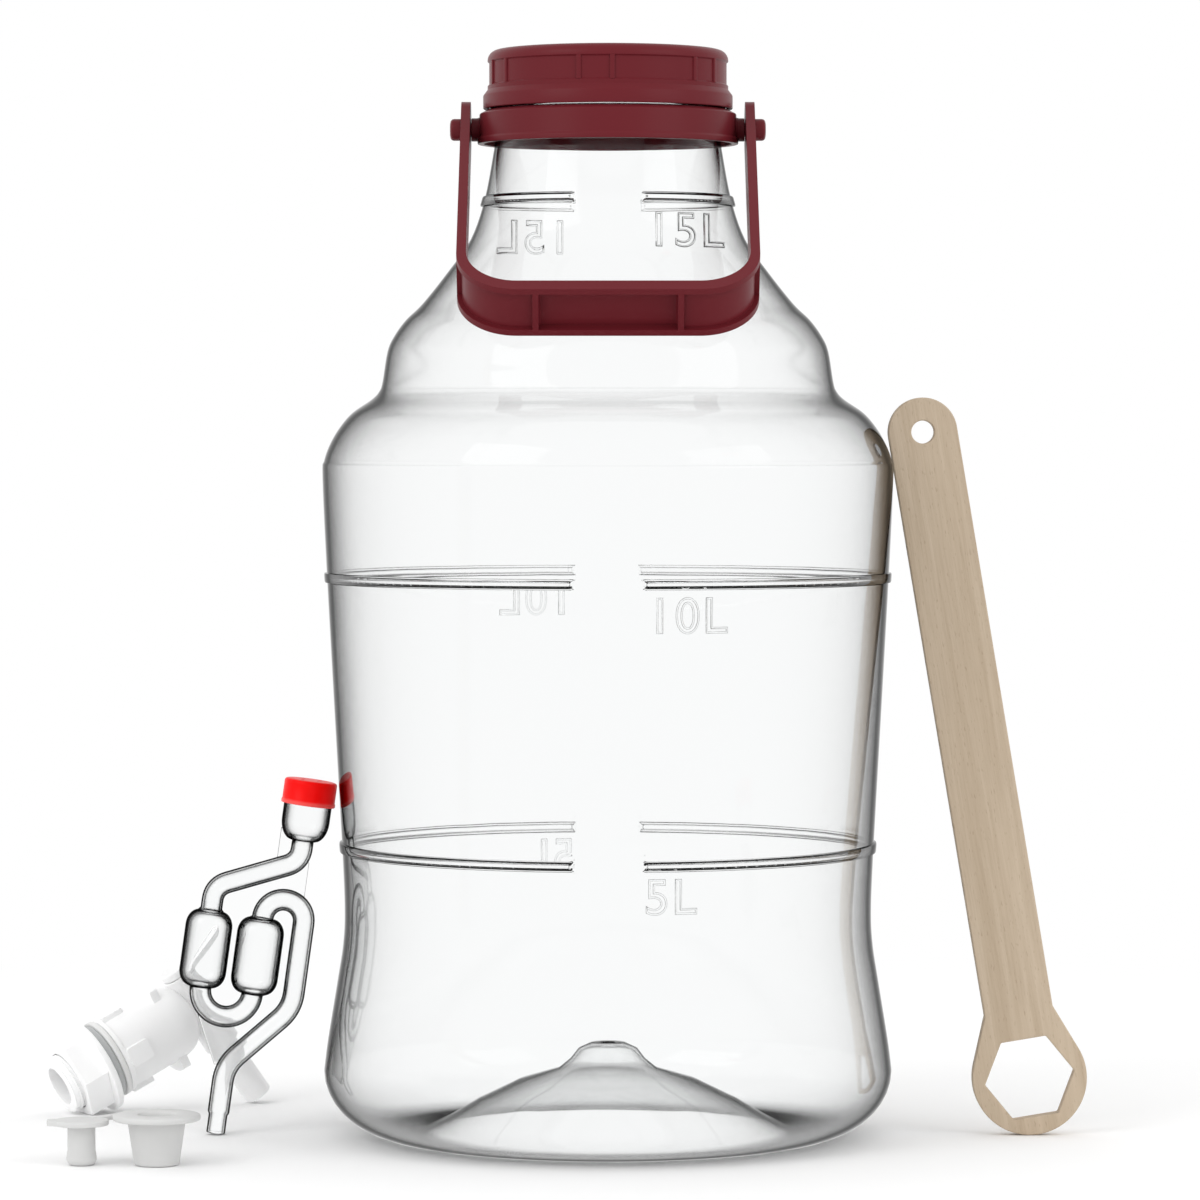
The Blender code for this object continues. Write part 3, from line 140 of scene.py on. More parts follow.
fade = sheet.node("ShaderNodeMapRange", {"clamp": True, "interpolation_type": "SMOOTHSTEP"}, {
    "Value": far, "From Min": shadow_to, "From Max": white_from})
sheet_mix = sheet.node("ShaderNodeMixShader", {}, {
    0: fade.maths("MAXIMUM", fade, beyond), 1: pale, 2: bright})
sheet.node("ShaderNodeOutputMaterial", {}, {"Surface": sheet_mix}, None)
floor_mesh.materials.append(floor_finish)

lamp_size, lamp_aim = 2.2, Vector((0, 0, 0.2))
for lamp_name, lamp_spot, lamp_watts in (
        ("key_lamp", Vector((-2.6, -2.4, 2.4)), 34), ("fill_lamp", Vector((2.8, -2.0, 1.9)), 22)):
    lamp_data = bpy.data.lights.new(lamp_name, "AREA")
    lamp_data.size, lamp_data.energy = lamp_size, lamp_watts
    lamp = bpy.data.objects.new(lamp_name, lamp_data)
    lamp.location = lamp_spot
    lamp.rotation_euler = (lamp_aim - lamp_spot).to_track_quat("-Z", "Y").to_euler()
    bpy.context.scene.collection.objects.link(lamp)

# The camera stands 2.3 m in front of the jar's axis and a few millimetres left of it, and looks slightly down.
jar_low, jar_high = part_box("jar_body")
axis_x = (jar_low[0] + jar_high[0]) / 2
eye_left, eye_away, eye_height, eye_down_deg = 0.0034, 2.343, 0.3037, 1.78
eye_data = bpy.data.cameras.new("photo_camera")
eye_data.lens, eye_data.sensor_width, eye_data.sensor_fit = 163.2, 36, "HORIZONTAL"
eye_data.clip_end = 40
eye = bpy.data.objects.new("photo_camera", eye_data)
eye.location = (axis_x - eye_left, -eye_away, eye_height)
eye.rotation_euler = (math.radians(90 - eye_down_deg), 0, 0)
bpy.context.scene.collection.objects.link(eye)
bpy.context.scene.camera = eye

# The jar: one stretch-blown PET wall, little more than a millimetre thick, from the pushed-up base with its
# gate nub, over the rolled heel, the waist and the bulge, to the steep shoulder and the threaded neck.
MM = 0.001
jar_wall_mm = 1.2
heel_in_mm, heel_out_mm, heel_up_mm = 88.3, 34.1, 28.6
foot_to_heel = [(80.0, 0.0)] + [
    (heel_in_mm + heel_out_mm * math.sin(math.radians(turn)), heel_up_mm * (1 - math.cos(math.radians(turn))))
    for turn in range(0, 90, 9)]
jar_side = [
    (122.4, 28.6), (120.66, 42.39), (116.3, 68.95), (114.2, 82.74), (113.5, 96.54), (114.34, 120.54),
    (117.69, 181.84), (121.0, 243.1), (122.8, 284.0), (122.06, 291.0), (119.5, 298.1), (115.41, 305.1),
    (109.87, 311.5), (101.74, 317.1), (98.41, 320.6), (96.94, 324.8), (94.79, 337.8), (91.84, 344.5),
    (86.81, 351.4), (79.72, 358.3), (68.71, 372.1), (59.02, 385.9), (52.96, 403.3), (48.9, 424.8)]
jar_base = [
    (0.0, 37.6), (3.6, 37.6), (4.0, 38.0), (4.4, 38.6), (7.0, 38.6), (11.8, 36.4), (15.2, 32.0), (20.6, 27.6),
    (37.5, 22.6), (54.4, 14.4), (68.5, 5.5), (77.0, 1.1)]
jar_neck = [
    (48.0, 434.2), (50.2, 436.0), (51.0, 436.9), (51.0, 438.4), (50.4, 439.0), (48.0, 439.2), (48.0, 441.5),
    (50.4, 441.7), (51.0, 442.2), (51.0, 443.4), (50.2, 444.2), (48.0, 445.3), (48.0, 461.6), (47.4, 462.5)]


def flowing(points, steps):
    """The same line with a smooth curve through its points."""
    ends = [points[0]] + list(points) + [points[-1]]
    line = []
    for before, start, end, after in zip(ends, ends[1:], ends[2:], ends[3:]):
        for step in range(steps):
            t = step / steps
            line.append(tuple(
                0.5 * (2 * b + (c - a) * t + (2 * a - 5 * b + 4 * c - d) * t * t
                       + (3 * b - a - 3 * c + d) * t ** 3)
                for a, b, c, d in zip(before, start, end, after)))
    return line + [points[-1]]


def lathe(profile_mm, steps, centre=(0, 0, 0)):
    """A turned shape: a line of (radius, height) points in millimetres spun once about an upright axis."""
    bm = bmesh.new()
    line = [bm.verts.new((radius * MM + centre[0], centre[1], height * MM + centre[2]))
            for radius, height in profile_mm]
    edges = [bm.edges.new(pair) for pair in zip(line, line[1:])]
    bmesh.ops.spin(bm, geom=line + edges, cent=centre, axis=(0, 0, 1), angle=math.tau, steps=steps,
                   use_merge=True)
    bmesh.ops.remove_doubles(bm, verts=bm.verts, dist=2e-6)
    bmesh.ops.recalc_face_normals(bm, faces=bm.faces)
    return bm


def piece(name, bm, finish, slot, body, *nodes, smooth_deg=None):
    """Makes the object of a finished shape, gives it its finish, and lets it ride on its CAD body."""
    for face in bm.faces:
        face.smooth = True
    if smooth_deg:
        for edge in bm.edges:
            edge.smooth = len(edge.link_faces) != 2 or edge.calc_face_angle(0) < math.radians(smooth_deg)
    mesh = bpy.data.meshes.new(name)
    bm.to_mesh(mesh)
    bm.free()
    mesh.materials.append(finish)
    made = bpy.data.objects.new(name, mesh)
    bpy.context.scene.collection.objects.link(made)
    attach(made, body)
    if nodes:
        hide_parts(*nodes)
    return made


def clear_plastic(name, edge_shade_gain, edge_shade_power, dark_mirror_gain, dark_mirror_power, ripple=0.05):
    """See-through moulded plastic with a faint ripple in its skin. Where it turns away from the viewer its
    colour is painted darker and it is made part dark mirror: painted shade, in place of the light that a real
    wall loses where it is seen lengthwise."""
    finish, shade = new_finish(name)
    place = shade.node("ShaderNodeTexCoord", {}, {}, "Object")
    turned_away = shade.node("ShaderNodeLayerWeight", {}, {"Blend": 0.5}, "Facing")
    cloud = shade.node("ShaderNodeTexNoise", {}, {"Vector": place, "Scale": 22.0, "Detail": 2.0})
    # Painted shade: colour darkens and turns to dark mirror where the surface turns away from the viewer.
    painted_edge_shade = shade.node("ShaderNodeClamp", {}, {"Value": turned_away ** edge_shade_power * edge_shade_gain})
    painted_dark_mirror = shade.node("ShaderNodeClamp", {}, {"Value": turned_away ** dark_mirror_power * dark_mirror_gain, "Max": 0.97})
    edge_shaded_tint = painted_edge_shade.blend((0.975, 0.98, 0.98, 1), (0.002, 0.002, 0.002, 1))
    relief = shade.node("ShaderNodeBump", {}, {"Height": cloud, "Strength": ripple, "Distance": 0.004})
    skin = shade.node("ShaderNodeBsdfPrincipled", {}, {
        "Base Color": edge_shaded_tint, "Metallic": painted_dark_mirror, "Roughness": cloud * 0.03 + 0.005, "Transmission Weight": 1.0,
        "IOR": 1.5, "Specular Tint": (0.2, 0.2, 0.2, 1), "Normal": relief})
    shade.node("ShaderNodeOutputMaterial", {}, {"Surface": skin}, None)
    return finish


jar_outline = foot_to_heel + flowing(jar_side, 5)
jar_shell = lathe(jar_base + jar_outline + jar_neck, 144, (axis_x, 0, 0))
# The three level ribs go round the wall, apart from a gap on the front and one on the back. The wall is cut
# finely where they run and where they end, and then swells outwards between the cuts.
rib_proud_mm, rib_edge_mm, rib_half_mm, rib_flat_mm = 1.2, 1.0, 2.2, 1.7
gap_half_mm, gap_ease_mm, inside_all_mm = 14.2, 1.4, 45
level_steps_mm = (-5.0, -3.6, -2.8, -2.4, -2.0, -1.4, 0, 1.4, 2.0, 2.4, 2.8, 3.6, 5.0)
gap_steps_mm = (-16.8, -16.0, -15.6, -15.0, -14.2, -13.8, -13.0, 13.0, 13.8, 14.2, 15.0, 15.6, 16.0, 16.8)
for rib_mm in (124.7, 240.8, 402.2):
    cuts = [((0, 0, (rib_mm + step) * MM), (0, 0, 1), 30) for step in level_steps_mm]
    cuts += [((axis_x + side * MM, 0, 0), (1, 0, 0), 5.2) for side in gap_steps_mm]
    for point, facing, reach_mm in cuts:
        band = [vert for vert in jar_shell.verts if abs(vert.co.z - rib_mm * MM) < reach_mm * MM
                and math.hypot(vert.co.x - axis_x, vert.co.y) > inside_all_mm * MM]
        geometry = dict.fromkeys(band)
        for vert in band:
            geometry.update(dict.fromkeys([*vert.link_edges, *vert.link_faces]))
        bmesh.ops.bisect_plane(jar_shell, geom=list(geometry), dist=1e-6, plane_co=point, plane_no=facing)
    for vert in jar_shell.verts:
        away = abs(vert.co.z / MM - rib_mm)
        out = Vector((vert.co.x - axis_x, vert.co.y, 0))
        if away < rib_half_mm and out.length > inside_all_mm * MM:
            swell = rib_proud_mm if away < rib_flat_mm else rib_edge_mm
            open_side = min(1, max(0, (abs(out.x) / MM - gap_half_mm) / gap_ease_mm))
            vert.co += out.normalized() * swell * open_side * MM
bmesh.ops.recalc_face_normals(jar_shell, faces=jar_shell.faces)
clear_pet = clear_plastic("clear_pet", edge_shade_gain=1.05, edge_shade_power=3.2, dark_mirror_gain=3.1, dark_mirror_power=5.75)
jar_skin = piece("jar_shell", jar_shell, clear_pet, "clear_pet", "jar", "jar_body", smooth_deg=28)
jar_thickness = jar_skin.modifiers.new("wall", "SOLIDIFY")
jar_thickness.thickness, jar_thickness.offset = jar_wall_mm * MM, -1
jar_thickness.use_even_offset = True

# The level marks: plain litre numbers moulded as thin raised outlines beside the ribs, on the front and,
# half a turn round, on the back.
figure_size_mm, figure_line_mm, figure_spacing = 20.5, 0.42, 1.12


def jar_radius(height_mm):
    """The jar's outer radius at a height, both in millimetres."""
    for (low_r, low), (high_r, high) in zip(jar_outline, jar_outline[1:]):
        if low <= height_mm <= high:
            return low_r + (high_r - low_r) * (height_mm - low) / max(high - low, 1e-9)
    return jar_outline[-1][0]


marks = bmesh.new()
for words, middle_mm, height_mm in (("5L", 25.6, 111.3), ("10L", 32.4, 227.2), ("15L", 32.7, 387.6)):
    lettering = bpy.data.curves.new(f"litres_{words}", "FONT")
    lettering.body, lettering.align_x, lettering.align_y = words, "CENTER", "CENTER"
    lettering.size, lettering.fill_mode = figure_size_mm * MM, "NONE"
    lettering.bevel_depth, lettering.bevel_resolution = figure_line_mm * MM, 1
    lettering.space_character = figure_spacing
    written = bpy.data.objects.new(f"litres_{words}", lettering)
    bpy.context.scene.collection.objects.link(written)
    bpy.context.view_layer.update()
    outlines = bpy.data.meshes.new_from_object(written.evaluated_get(bpy.context.evaluated_depsgraph_get()))
    bpy.data.objects.remove(written)
    for half_turn in (1, -1):
        start = len(marks.verts)
        marks.from_mesh(outlines)
        marks.verts.ensure_lookup_table()
        for vert in marks.verts[start:]:
            across, up, proud = vert.co.x, vert.co.y, vert.co.z
            level = height_mm + up / MM
            reach = jar_radius(level) * MM + proud
            side = (middle_mm * MM + across) / reach
            vert.co = (axis_x + reach * side * half_turn,
                       -reach * math.sqrt(1 - side * side) * half_turn, level * MM)
    bpy.data.meshes.remove(outlines)
bmesh.ops.recalc_face_normals(marks, faces=marks.faces)
piece("litre_marks", marks, clear_pet, "clear_pet", "jar")

# The neck's thread: one coarse ridge, a turn and a quarter long, that climbs the PET neck, and on which the
# cap screws down. Its foot is sunk a little into the wall, so that the two read as one moulding.
thread_foot_mm, thread_lead_mm, thread_turns, thread_steps = 448.5, 8, 1.25, 120
thread = bmesh.new()
ridge = [thread.verts.new((axis_x + radius * MM, 0, (thread_foot_mm + height) * MM))
         for radius, height in ((47.6, -1.7), (49.4, -0.6), (49.4, 0.6), (47.6, 1.7))]
ridge_edges = [thread.edges.new((ridge[corner], ridge[(corner + 1) % 4])) for corner in range(4)]
bmesh.ops.spin(thread, geom=ridge + ridge_edges, cent=(axis_x, 0, 0), axis=(0, 0, 1), steps=thread_steps,
               dvec=(0, 0, thread_lead_mm * MM * thread_turns / thread_steps), angle=math.tau * thread_turns)
bmesh.ops.holes_fill(thread, edges=[edge for edge in thread.edges if edge.is_boundary], sides=4)
bmesh.ops.recalc_face_normals(thread, faces=thread.faces)
piece("neck_thread", thread, clear_pet, "clear_pet", "jar", smooth_deg=30)

# The neck collar: a burgundy moulded ring, hollow underneath, that snaps on between the neck's two beads.
# A headed stud stands out on each side of it and carries the handle.


def colour(red, green, blue):
    """A colour read off as 0 to 255 on screen, as the linear colour the shader needs."""
    return tuple((level / 255 / 12.92) if level / 255 <= 0.04045 else ((level / 255 + 0.055) / 1.055) ** 2.4
                 for level in (red, green, blue)) + (1.0,)


def moulded_plastic(name, shown, roughness, grain, sheen_spread, cloudiness, thickness_glow=0.0, gloss=0.4):
    """Injection-moulded plastic: its colour drifts a little, and its skin has a fine even grain."""
    finish, shade = new_finish(name)
    place = shade.node("ShaderNodeTexCoord", {}, {}, "Object")
    drift = shade.node("ShaderNodeTexNoise", {}, {
        "Vector": place, "Scale": 38.0, "Detail": 3.0, "Roughness": 0.55})
    speckle = shade.node("ShaderNodeTexNoise", {}, {"Vector": place, "Scale": 2600.0, "Detail": 1.0})
    flow = shade.node("ShaderNodeTexNoise", {}, {
        "Vector": place, "Scale": 9.0, "Detail": 1.0, "Distortion": 0.6})
    light = tuple(min(1.0, level * (1 + cloudiness)) for level in shown[:3]) + (1.0,)
    dark = tuple(level * (1 - cloudiness) for level in shown[:3]) + (1.0,)
    base = (drift * 0.6 + flow * 0.4).blend(dark, light)
    relief = shade.node("ShaderNodeBump", {}, {"Height": speckle, "Strength": grain, "Distance": 0.0002})
    sockets = {"Base Color": base, "Roughness": flow * sheen_spread + (roughness - sheen_spread / 2),
               "IOR": 1.49, "Specular IOR Level": gloss, "Normal": relief}
    if thickness_glow:
        sockets["Subsurface Weight"] = thickness_glow
        sockets["Subsurface Radius"] = (0.004, 0.004, 0.004)
        sockets["Subsurface Scale"] = 1.0
    skin = shade.node("ShaderNodeBsdfPrincipled", {}, sockets)
    shade.node("ShaderNodeOutputMaterial", {}, {"Surface": skin}, None)
    return finish


def carved(base, *steps):
    """Joins, cuts or intersects a shape with others, one after the other, and returns the result."""
    shapes = []
    for bm in (base,) + tuple(shape for operation, shape in steps):
        mesh = bpy.data.meshes.new("shape")
        bm.to_mesh(mesh)
        bm.free()
        shapes.append(bpy.data.objects.new("shape", mesh))
        bpy.context.scene.collection.objects.link(shapes[-1])
    for (operation, shape), other in zip(steps, shapes[1:]):
        step = shapes[0].modifiers.new("step", "BOOLEAN")
        step.operation, step.solver, step.object = operation, "EXACT", other
    bpy.context.view_layer.update()
    whole = shapes[0].evaluated_get(bpy.context.evaluated_depsgraph_get())
    result = bmesh.new()
    result.from_mesh(whole.to_mesh())
    whole.to_mesh_clear()
    for shape in shapes:
        mesh = shape.data
        bpy.data.objects.remove(shape)
        bpy.data.meshes.remove(mesh)
    bmesh.ops.dissolve_limit(result, angle_limit=math.radians(0.4), verts=result.verts, edges=result.edges)
    return result


def plate(outline_mm, low_mm, high_mm, along="Y"):
    """A flat outline in millimetres given its thickness along X, Y or Z."""
    turn = {"X": Matrix(((0, 0, 1), (1, 0, 0), (0, 1, 0))), "Z": Matrix.Identity(3),
            "Y": Matrix(((1, 0, 0), (0, 0, -1), (0, 1, 0)))}[along]
    low = -low_mm if along == "Y" else low_mm
    high = -high_mm if along == "Y" else high_mm
    bm = bmesh.new()
    face = bm.faces.new([bm.verts.new((u * MM, v * MM, low * MM)) for u, v in outline_mm])
    top = bmesh.ops.extrude_face_region(bm, geom=[face])["geom"]
    bmesh.ops.translate(bm, verts=[part for part in top if isinstance(part, bmesh.types.BMVert)],
                        vec=(0, 0, (high - low) * MM))
    bmesh.ops.transform(bm, matrix=turn.to_4x4(), verts=bm.verts)
    bmesh.ops.recalc_face_normals(bm, faces=bm.faces)
    return bm


def sweep_mm(centre, radius, start_deg, end_deg, steps):
    """Points of an arc in millimetres."""
    turns = [math.radians(start_deg + (end_deg - start_deg) * step / steps) for step in range(steps + 1)]
    return [(centre[0] + radius * math.cos(turn), centre[1] + radius * math.sin(turn)) for turn in turns]


def rod(profile_mm, steps, direction="X", centre_mm=(0, 0, 0)):
    """A turned shape laid along X, or along -X, from (radius, distance) points in millimetres."""
    bm = lathe(profile_mm, steps)
    bmesh.ops.rotate(bm, verts=bm.verts,
                     matrix=Matrix.Rotation(math.radians(90 if direction == "X" else -90), 3, "Y"))
    bmesh.ops.translate(bm, verts=bm.verts, vec=[value * MM for value in centre_mm])
    return bm


def set_in(bm, matrix):
    """Moves a finished shape from its own frame to its place on the object."""
    bmesh.ops.transform(bm, matrix=matrix, verts=bm.verts)
    return bm


def soften(made, width_mm, segments):
    """Rounds a moulding's edges a little."""
    edge = made.modifiers.new("soft_edges", "BEVEL")
    edge.width, edge.segments, edge.limit_method = width_mm * MM, segments, "ANGLE"
    edge.angle_limit, edge.use_clamp_overlap = math.radians(32), True


burgundy = moulded_plastic("burgundy_polypropylene", colour(101, 30, 37), roughness=0.36, grain=0.10,
                           sheen_spread=0.08, cloudiness=0.04, gloss=0.12)
stud_height_mm = 433.0
jar_place = Matrix.Translation((axis_x, 0, 0))
collar_ring = lathe([
    (48.6, 439.3), (48.6, 441.1), (48.8, 441.3), (51.7, 441.3), (52.2, 441.15), (54.7, 439.9), (55.1, 439.55),
    (55.2, 439.1), (55.2, 430.0), (55.3, 429.6), (55.85, 429.05), (56.0, 428.7), (56.0, 427.0), (55.8, 426.8),
    (53.4, 426.8), (53.2, 427.0), (53.2, 439.3), (48.6, 439.3)], 128)
studs = []
for facing in ("X", "-X"):
    studs.append(("UNION", rod([
        (0, 54.2), (5.6, 54.2), (5.2, 55.6), (5.0, 56.2), (5.0, 58.3), (4.8, 58.6), (3.0, 58.6), (3.0, 63.2),
        (4.5, 63.2), (4.7, 63.4), (4.7, 66.2), (4.45, 67.0), (3.8, 67.55), (2.6, 67.8), (0, 67.8)],
        32, facing, (0, 0, stud_height_mm))))
collar_form = carved(collar_ring, *studs)
piece("neck_collar_ring", set_in(collar_form, jar_place), burgundy, "burgundy_polypropylene", "jar",
      "neck_collar", smooth_deg=32)

# The handle: a wide polypropylene strap bent to a U. Its ends are round eyes that snap over the collar's
# studs, and its grip is a channel, hollowed from below between thin ribs, that rests on the shoulder.
strap_half, handle_hang_deg, eye_hole_r = 12.0, 52.0, 3.3


def handle_contour(side_mm, bottom_mm, corner_mm):
    """Half the U's contour, from above an eye to the middle of the grip, in millimetres from the studs."""
    middle = (side_mm - corner_mm, -(bottom_mm - corner_mm))
    return [(side_mm, 12.5)] + sweep_mm(middle, corner_mm, 0, -90, 20) + [(0, -bottom_mm)]


def whole_u(outer, inner):
    """The closed outline between two half contours and their mirror images."""
    return (outer + [(-u, v) for u, v in reversed(outer[:-1])]
            + [(-u, v) for u, v in inner[:-1]] + list(reversed(inner)))


u_outline = whole_u(handle_contour(62.9, 131.0, 25.0), handle_contour(58.9, 125.0, 21.0))
eye_side = [(strap_half, -135.0)] + sweep_mm((0, 0), strap_half, 0, 180, 28) + [(-strap_half, -135.0)]
eye_hole = rod([(0, -70), (eye_hole_r, -70), (eye_hole_r, 70), (0, 70)], 28)
pocket_half = 9.1
grip_pocket = plate([(-28.7, -134.0), (28.7, -134.0), (28.7, -127.6), (27.9, -126.7), (-27.9, -126.7),
                     (-28.7, -127.6)], -pocket_half, pocket_half)
outside = handle_contour(66.0, 134.0, 28.0)[1:-1]
floor_line = handle_contour(60.8, 128.8, 22.9)[1:-1]
crescent = outside + [(31.2, outside[-1][1]), (31.2, floor_line[-1][1])] + list(reversed(floor_line))
side_pockets = [("DIFFERENCE", plate([(u * hand, v) for u, v in crescent], -pocket_half, pocket_half))
                for hand in (1, -1)]
handle_form = carved(
    plate(u_outline, -strap_half, strap_half), ("INTERSECT", plate(eye_side, -70, 70, "X")),
    ("DIFFERENCE", eye_hole), ("DIFFERENCE", grip_pocket), *side_pockets)
handle_place = Matrix.Translation((axis_x, 0, stud_height_mm * MM)) @ Matrix.Rotation(
    math.radians(-handle_hang_deg), 4, "X")
handle = piece("carrying_handle", set_in(handle_form, handle_place), burgundy, "burgundy_polypropylene", "bail",
               "bail", smooth_deg=32)
soften(handle, 0.55, 3)

# The screw cap: a burgundy skirted lid with a recessed side panel, pairs of grip ribs at six places round it,
# a flared lower band, and the central hole that the bung plugs into.


def rounded_block(size_mm, round_mm):
    """A small block whose four upright edges are rounded."""
    bm = bmesh.new()
    bmesh.ops.create_cube(bm, size=1, matrix=Matrix.Diagonal([side * MM for side in size_mm] + [1]))
    upright = [edge for edge in bm.edges
               if abs((edge.verts[0].co - edge.verts[1].co).z) > size_mm[2] * MM / 2]
    bmesh.ops.bevel(bm, geom=upright, offset=round_mm * MM, segments=3, profile=0.5, affect="EDGES",
                    material=-1)
    return bm


cap_form = lathe([
    (11.5, 464.8), (11.5, 466.7), (11.8, 467.0), (47.2, 467.0)] + sweep_mm((47.2, 462.5), 4.5, 88, 0, 10) + [
    (51.7, 462.1), (51.0, 461.5), (51.0, 452.3), (51.7, 451.6), (51.7, 450.0), (52.0, 449.6), (53.3, 447.9),
    (53.6, 447.3), (53.6, 442.1), (53.3, 441.8), (51.9, 441.8), (51.6, 442.1), (51.6, 447.6), (49.5, 450.0),
    (49.5, 464.8), (11.5, 464.8)], 144)
grips = []
for group in range(6):
    for hand in (1, -1):
        bearing = math.radians(-96 + 60 * group + 8 * hand)
        rib_place = Matrix.Rotation(bearing, 4, "Z") @ Matrix.Translation((51.0 * MM, 0, 456.9 * MM))
        grips.append(("UNION", set_in(rounded_block((1.4, 2.2, 10.2), 0.45), rib_place)))
cap = piece("screw_cap_lid", set_in(carved(cap_form, *grips), jar_place), burgundy, "burgundy_polypropylene",
            "cap", "screw_cap", smooth_deg=32)
soften(cap, 0.15, 2)

# The cap's seal: a flat ring of white closed-cell foam in the lid's roof, which the mouth's rim presses into.
# Its hole leaves the middle free for the bung.
seal_foam = moulded_plastic("seal_foam", colour(228, 228, 224), roughness=0.85, grain=0.5, sheen_spread=0.05,
                            cloudiness=0.06)
seal = lathe([(11.5, 463.1), (11.5, 464.4), (11.7, 464.5), (48.0, 464.5), (48.3, 464.3), (48.3, 463.2),
              (48.1, 463.0), (11.7, 463.0), (11.5, 463.1)], 128, (axis_x, 0, 0))
piece("cap_seal_ring", seal, seal_foam, "seal_foam", "seal", "cap_seal", smooth_deg=38)

# The airlock: one clear PETG tube that climbs, loops over, swells into two bubble chambers joined by a bend
# below, and crosses back to an open cup. The two moulded halves meet on the thin web between the limbs.
airlock_lean_deg = 8
airlock_place = Matrix.Translation((-0.147157, 0, 0.000571)) @ Matrix.Rotation(
    math.radians(airlock_lean_deg), 4, "Y")
tube_mm, bulb_mm, bulb_round_mm, tube_wall_mm = 4.74, 10.2, 7, 1.0
cup_x_mm, cup_foot_mm, cup_r_mm, cup_round_mm = 20, 130.3, 10.4, 9


def eased_corner(corners, radius_mm, steps=9):
    """An open line whose inner corners are rounded off."""
    line = [Vector(corners[0])]
    for before, corner, after in zip(corners, corners[1:], corners[2:]):
        before, corner, after = Vector(before), Vector(corner), Vector(after)
        start = corner + (before - corner).normalized() * radius_mm
        end = corner + (after - corner).normalized() * radius_mm
        for step in range(steps + 1):
            share = step / steps
            line.append(start.lerp(corner, share).lerp(corner.lerp(end, share), share))
    line.append(Vector(corners[-1]))
    return [tuple(point) for point in line]


def bubble_chamber(across_mm, from_mm, to_mm):
    """Stations through one swollen chamber of the tube."""
    up = bulb_round_mm if to_mm > from_mm else -bulb_round_mm
    turns = [math.radians(90 * step / 9) for step in range(10)]
    swollen = [(up * (1 - math.cos(turn)), tube_mm + (bulb_mm - tube_mm) * math.sin(turn)) for turn in turns]
    return ([(across_mm, from_mm + along, radius) for along, radius in swollen]
            + [(across_mm, to_mm - along, radius) for along, radius in reversed(swollen)])


airlock_line = [(0, 0, 4.0), (0, 0.4, 4.1), (0, 8.0, 4.1), (0, 8.8, 4.6)]
airlock_line += [(u, v, tube_mm) for u, v in eased_corner([(0, 9.2), (0, 29.3), (25.2, 57.7), (25.2, 95.0)], 7)]
airlock_line += [(u, v, tube_mm) for u, v in sweep_mm((16.3, 95.2), 8.9, 0, 180, 22)]
airlock_line += bubble_chamber(7.4, 95.0, 61.8)
airlock_line += [(u, v, tube_mm) for u, v in sweep_mm((-3.85, 61.6), 11.25, 0, -180, 26)]
airlock_line += bubble_chamber(-15.1, 61.8, 95.2)
airlock_line += [(u, v, tube_mm) for u, v in eased_corner(
    [(-15.1, 96.2), (-15.1, 105.73), (cup_x_mm, 121.27), (cup_x_mm, cup_foot_mm)], 6)]
airlock_line += [(cup_x_mm, cup_foot_mm + cup_round_mm * (1 - math.cos(turn)),
                  tube_mm + (cup_r_mm - tube_mm) * math.sin(turn))
                 for turn in (math.radians(90 * step / 9) for step in range(1, 10))]
airlock_line += [(cup_x_mm, 148.0, cup_r_mm), (cup_x_mm, 155.6, cup_r_mm), (cup_x_mm, 155.9, 10.25)]


def tube_skin(stations, thinner_mm=0.0, closed=False):
    """A round skin drawn through its stations, ring by ring."""
    bm = bmesh.new()
    rings = []
    for index, (across, up, radius) in enumerate(stations):
        before, after = stations[max(index - 1, 0)], stations[min(index + 1, len(stations) - 1)]
        heading = Vector((after[0] - before[0], 0, after[1] - before[1])).normalized()
        side = Vector((0, 1, 0))
        frame_of_ring = Matrix((side.cross(heading), side, heading)).transposed().to_4x4()
        ring = bmesh.ops.create_circle(
            bm, segments=28, radius=(radius - thinner_mm) * MM,
            matrix=Matrix.Translation((across * MM, 0, up * MM)) @ frame_of_ring)["verts"]
        rings.append(list(dict.fromkeys(edge for vert in ring for edge in vert.link_edges)))
    for low, high in zip(rings, rings[1:]):
        bmesh.ops.bridge_loops(bm, edges=low + high)
    if closed:
        bmesh.ops.holes_fill(bm, edges=[edge for edge in bm.edges if edge.is_boundary], sides=0)
    bmesh.ops.recalc_face_normals(bm, faces=bm.faces)
    return bm


def spaced(stations, least_mm=0.25):
    """The same stations without those that nearly coincide."""
    kept = [stations[0]]
    for station in stations[1:]:
        if math.hypot(station[0] - kept[-1][0], station[1] - kept[-1][1]) > least_mm:
            kept.append(station)
    return kept


airlock_line = spaced(airlock_line)
clear_petg = clear_plastic("clear_petg", edge_shade_gain=8.0, edge_shade_power=3.0, dark_mirror_gain=6.0, dark_mirror_power=3.5)
airlock = piece("airlock_tube", set_in(tube_skin(airlock_line), airlock_place), clear_petg, "clear_petg",
                "airlock", "airlock_body")
airlock_wall = airlock.modifiers.new("wall", "SOLIDIFY")
airlock_wall.thickness, airlock_wall.offset = tube_wall_mm * MM, -1
web_half_mm, web_round_mm, web_into_tube_mm = 0.6, 0.5, 0.3
web_outline = [
    (0, 29.3), (-4.74, 29.3), (-15.1, 50.5), (-17.47, 61.8), (-15.1, 95.2), (-15.1, 108.1), (10, 113.5),
    (10, 135.04), (20, 135.04), (20, 123.64), (24.0, 121.27), (24.0, 95.2), (25.2, 94.0), (25.2, 57.7)]
web_sheet = plate(web_outline, -web_half_mm, web_half_mm)
web_rim = [edge for edge in web_sheet.edges if abs(edge.verts[0].co.y - edge.verts[1].co.y) < 0.1 * MM]
bmesh.ops.bevel(web_sheet, geom=web_rim, offset=web_round_mm * MM, segments=3, profile=0.5, affect="EDGES",
                material=-1)
web_form = carved(web_sheet, ("DIFFERENCE", tube_skin(airlock_line, web_into_tube_mm, closed=True)))
piece("airlock_web", set_in(web_form, airlock_place), clear_petg, "clear_petg", "airlock", smooth_deg=30)
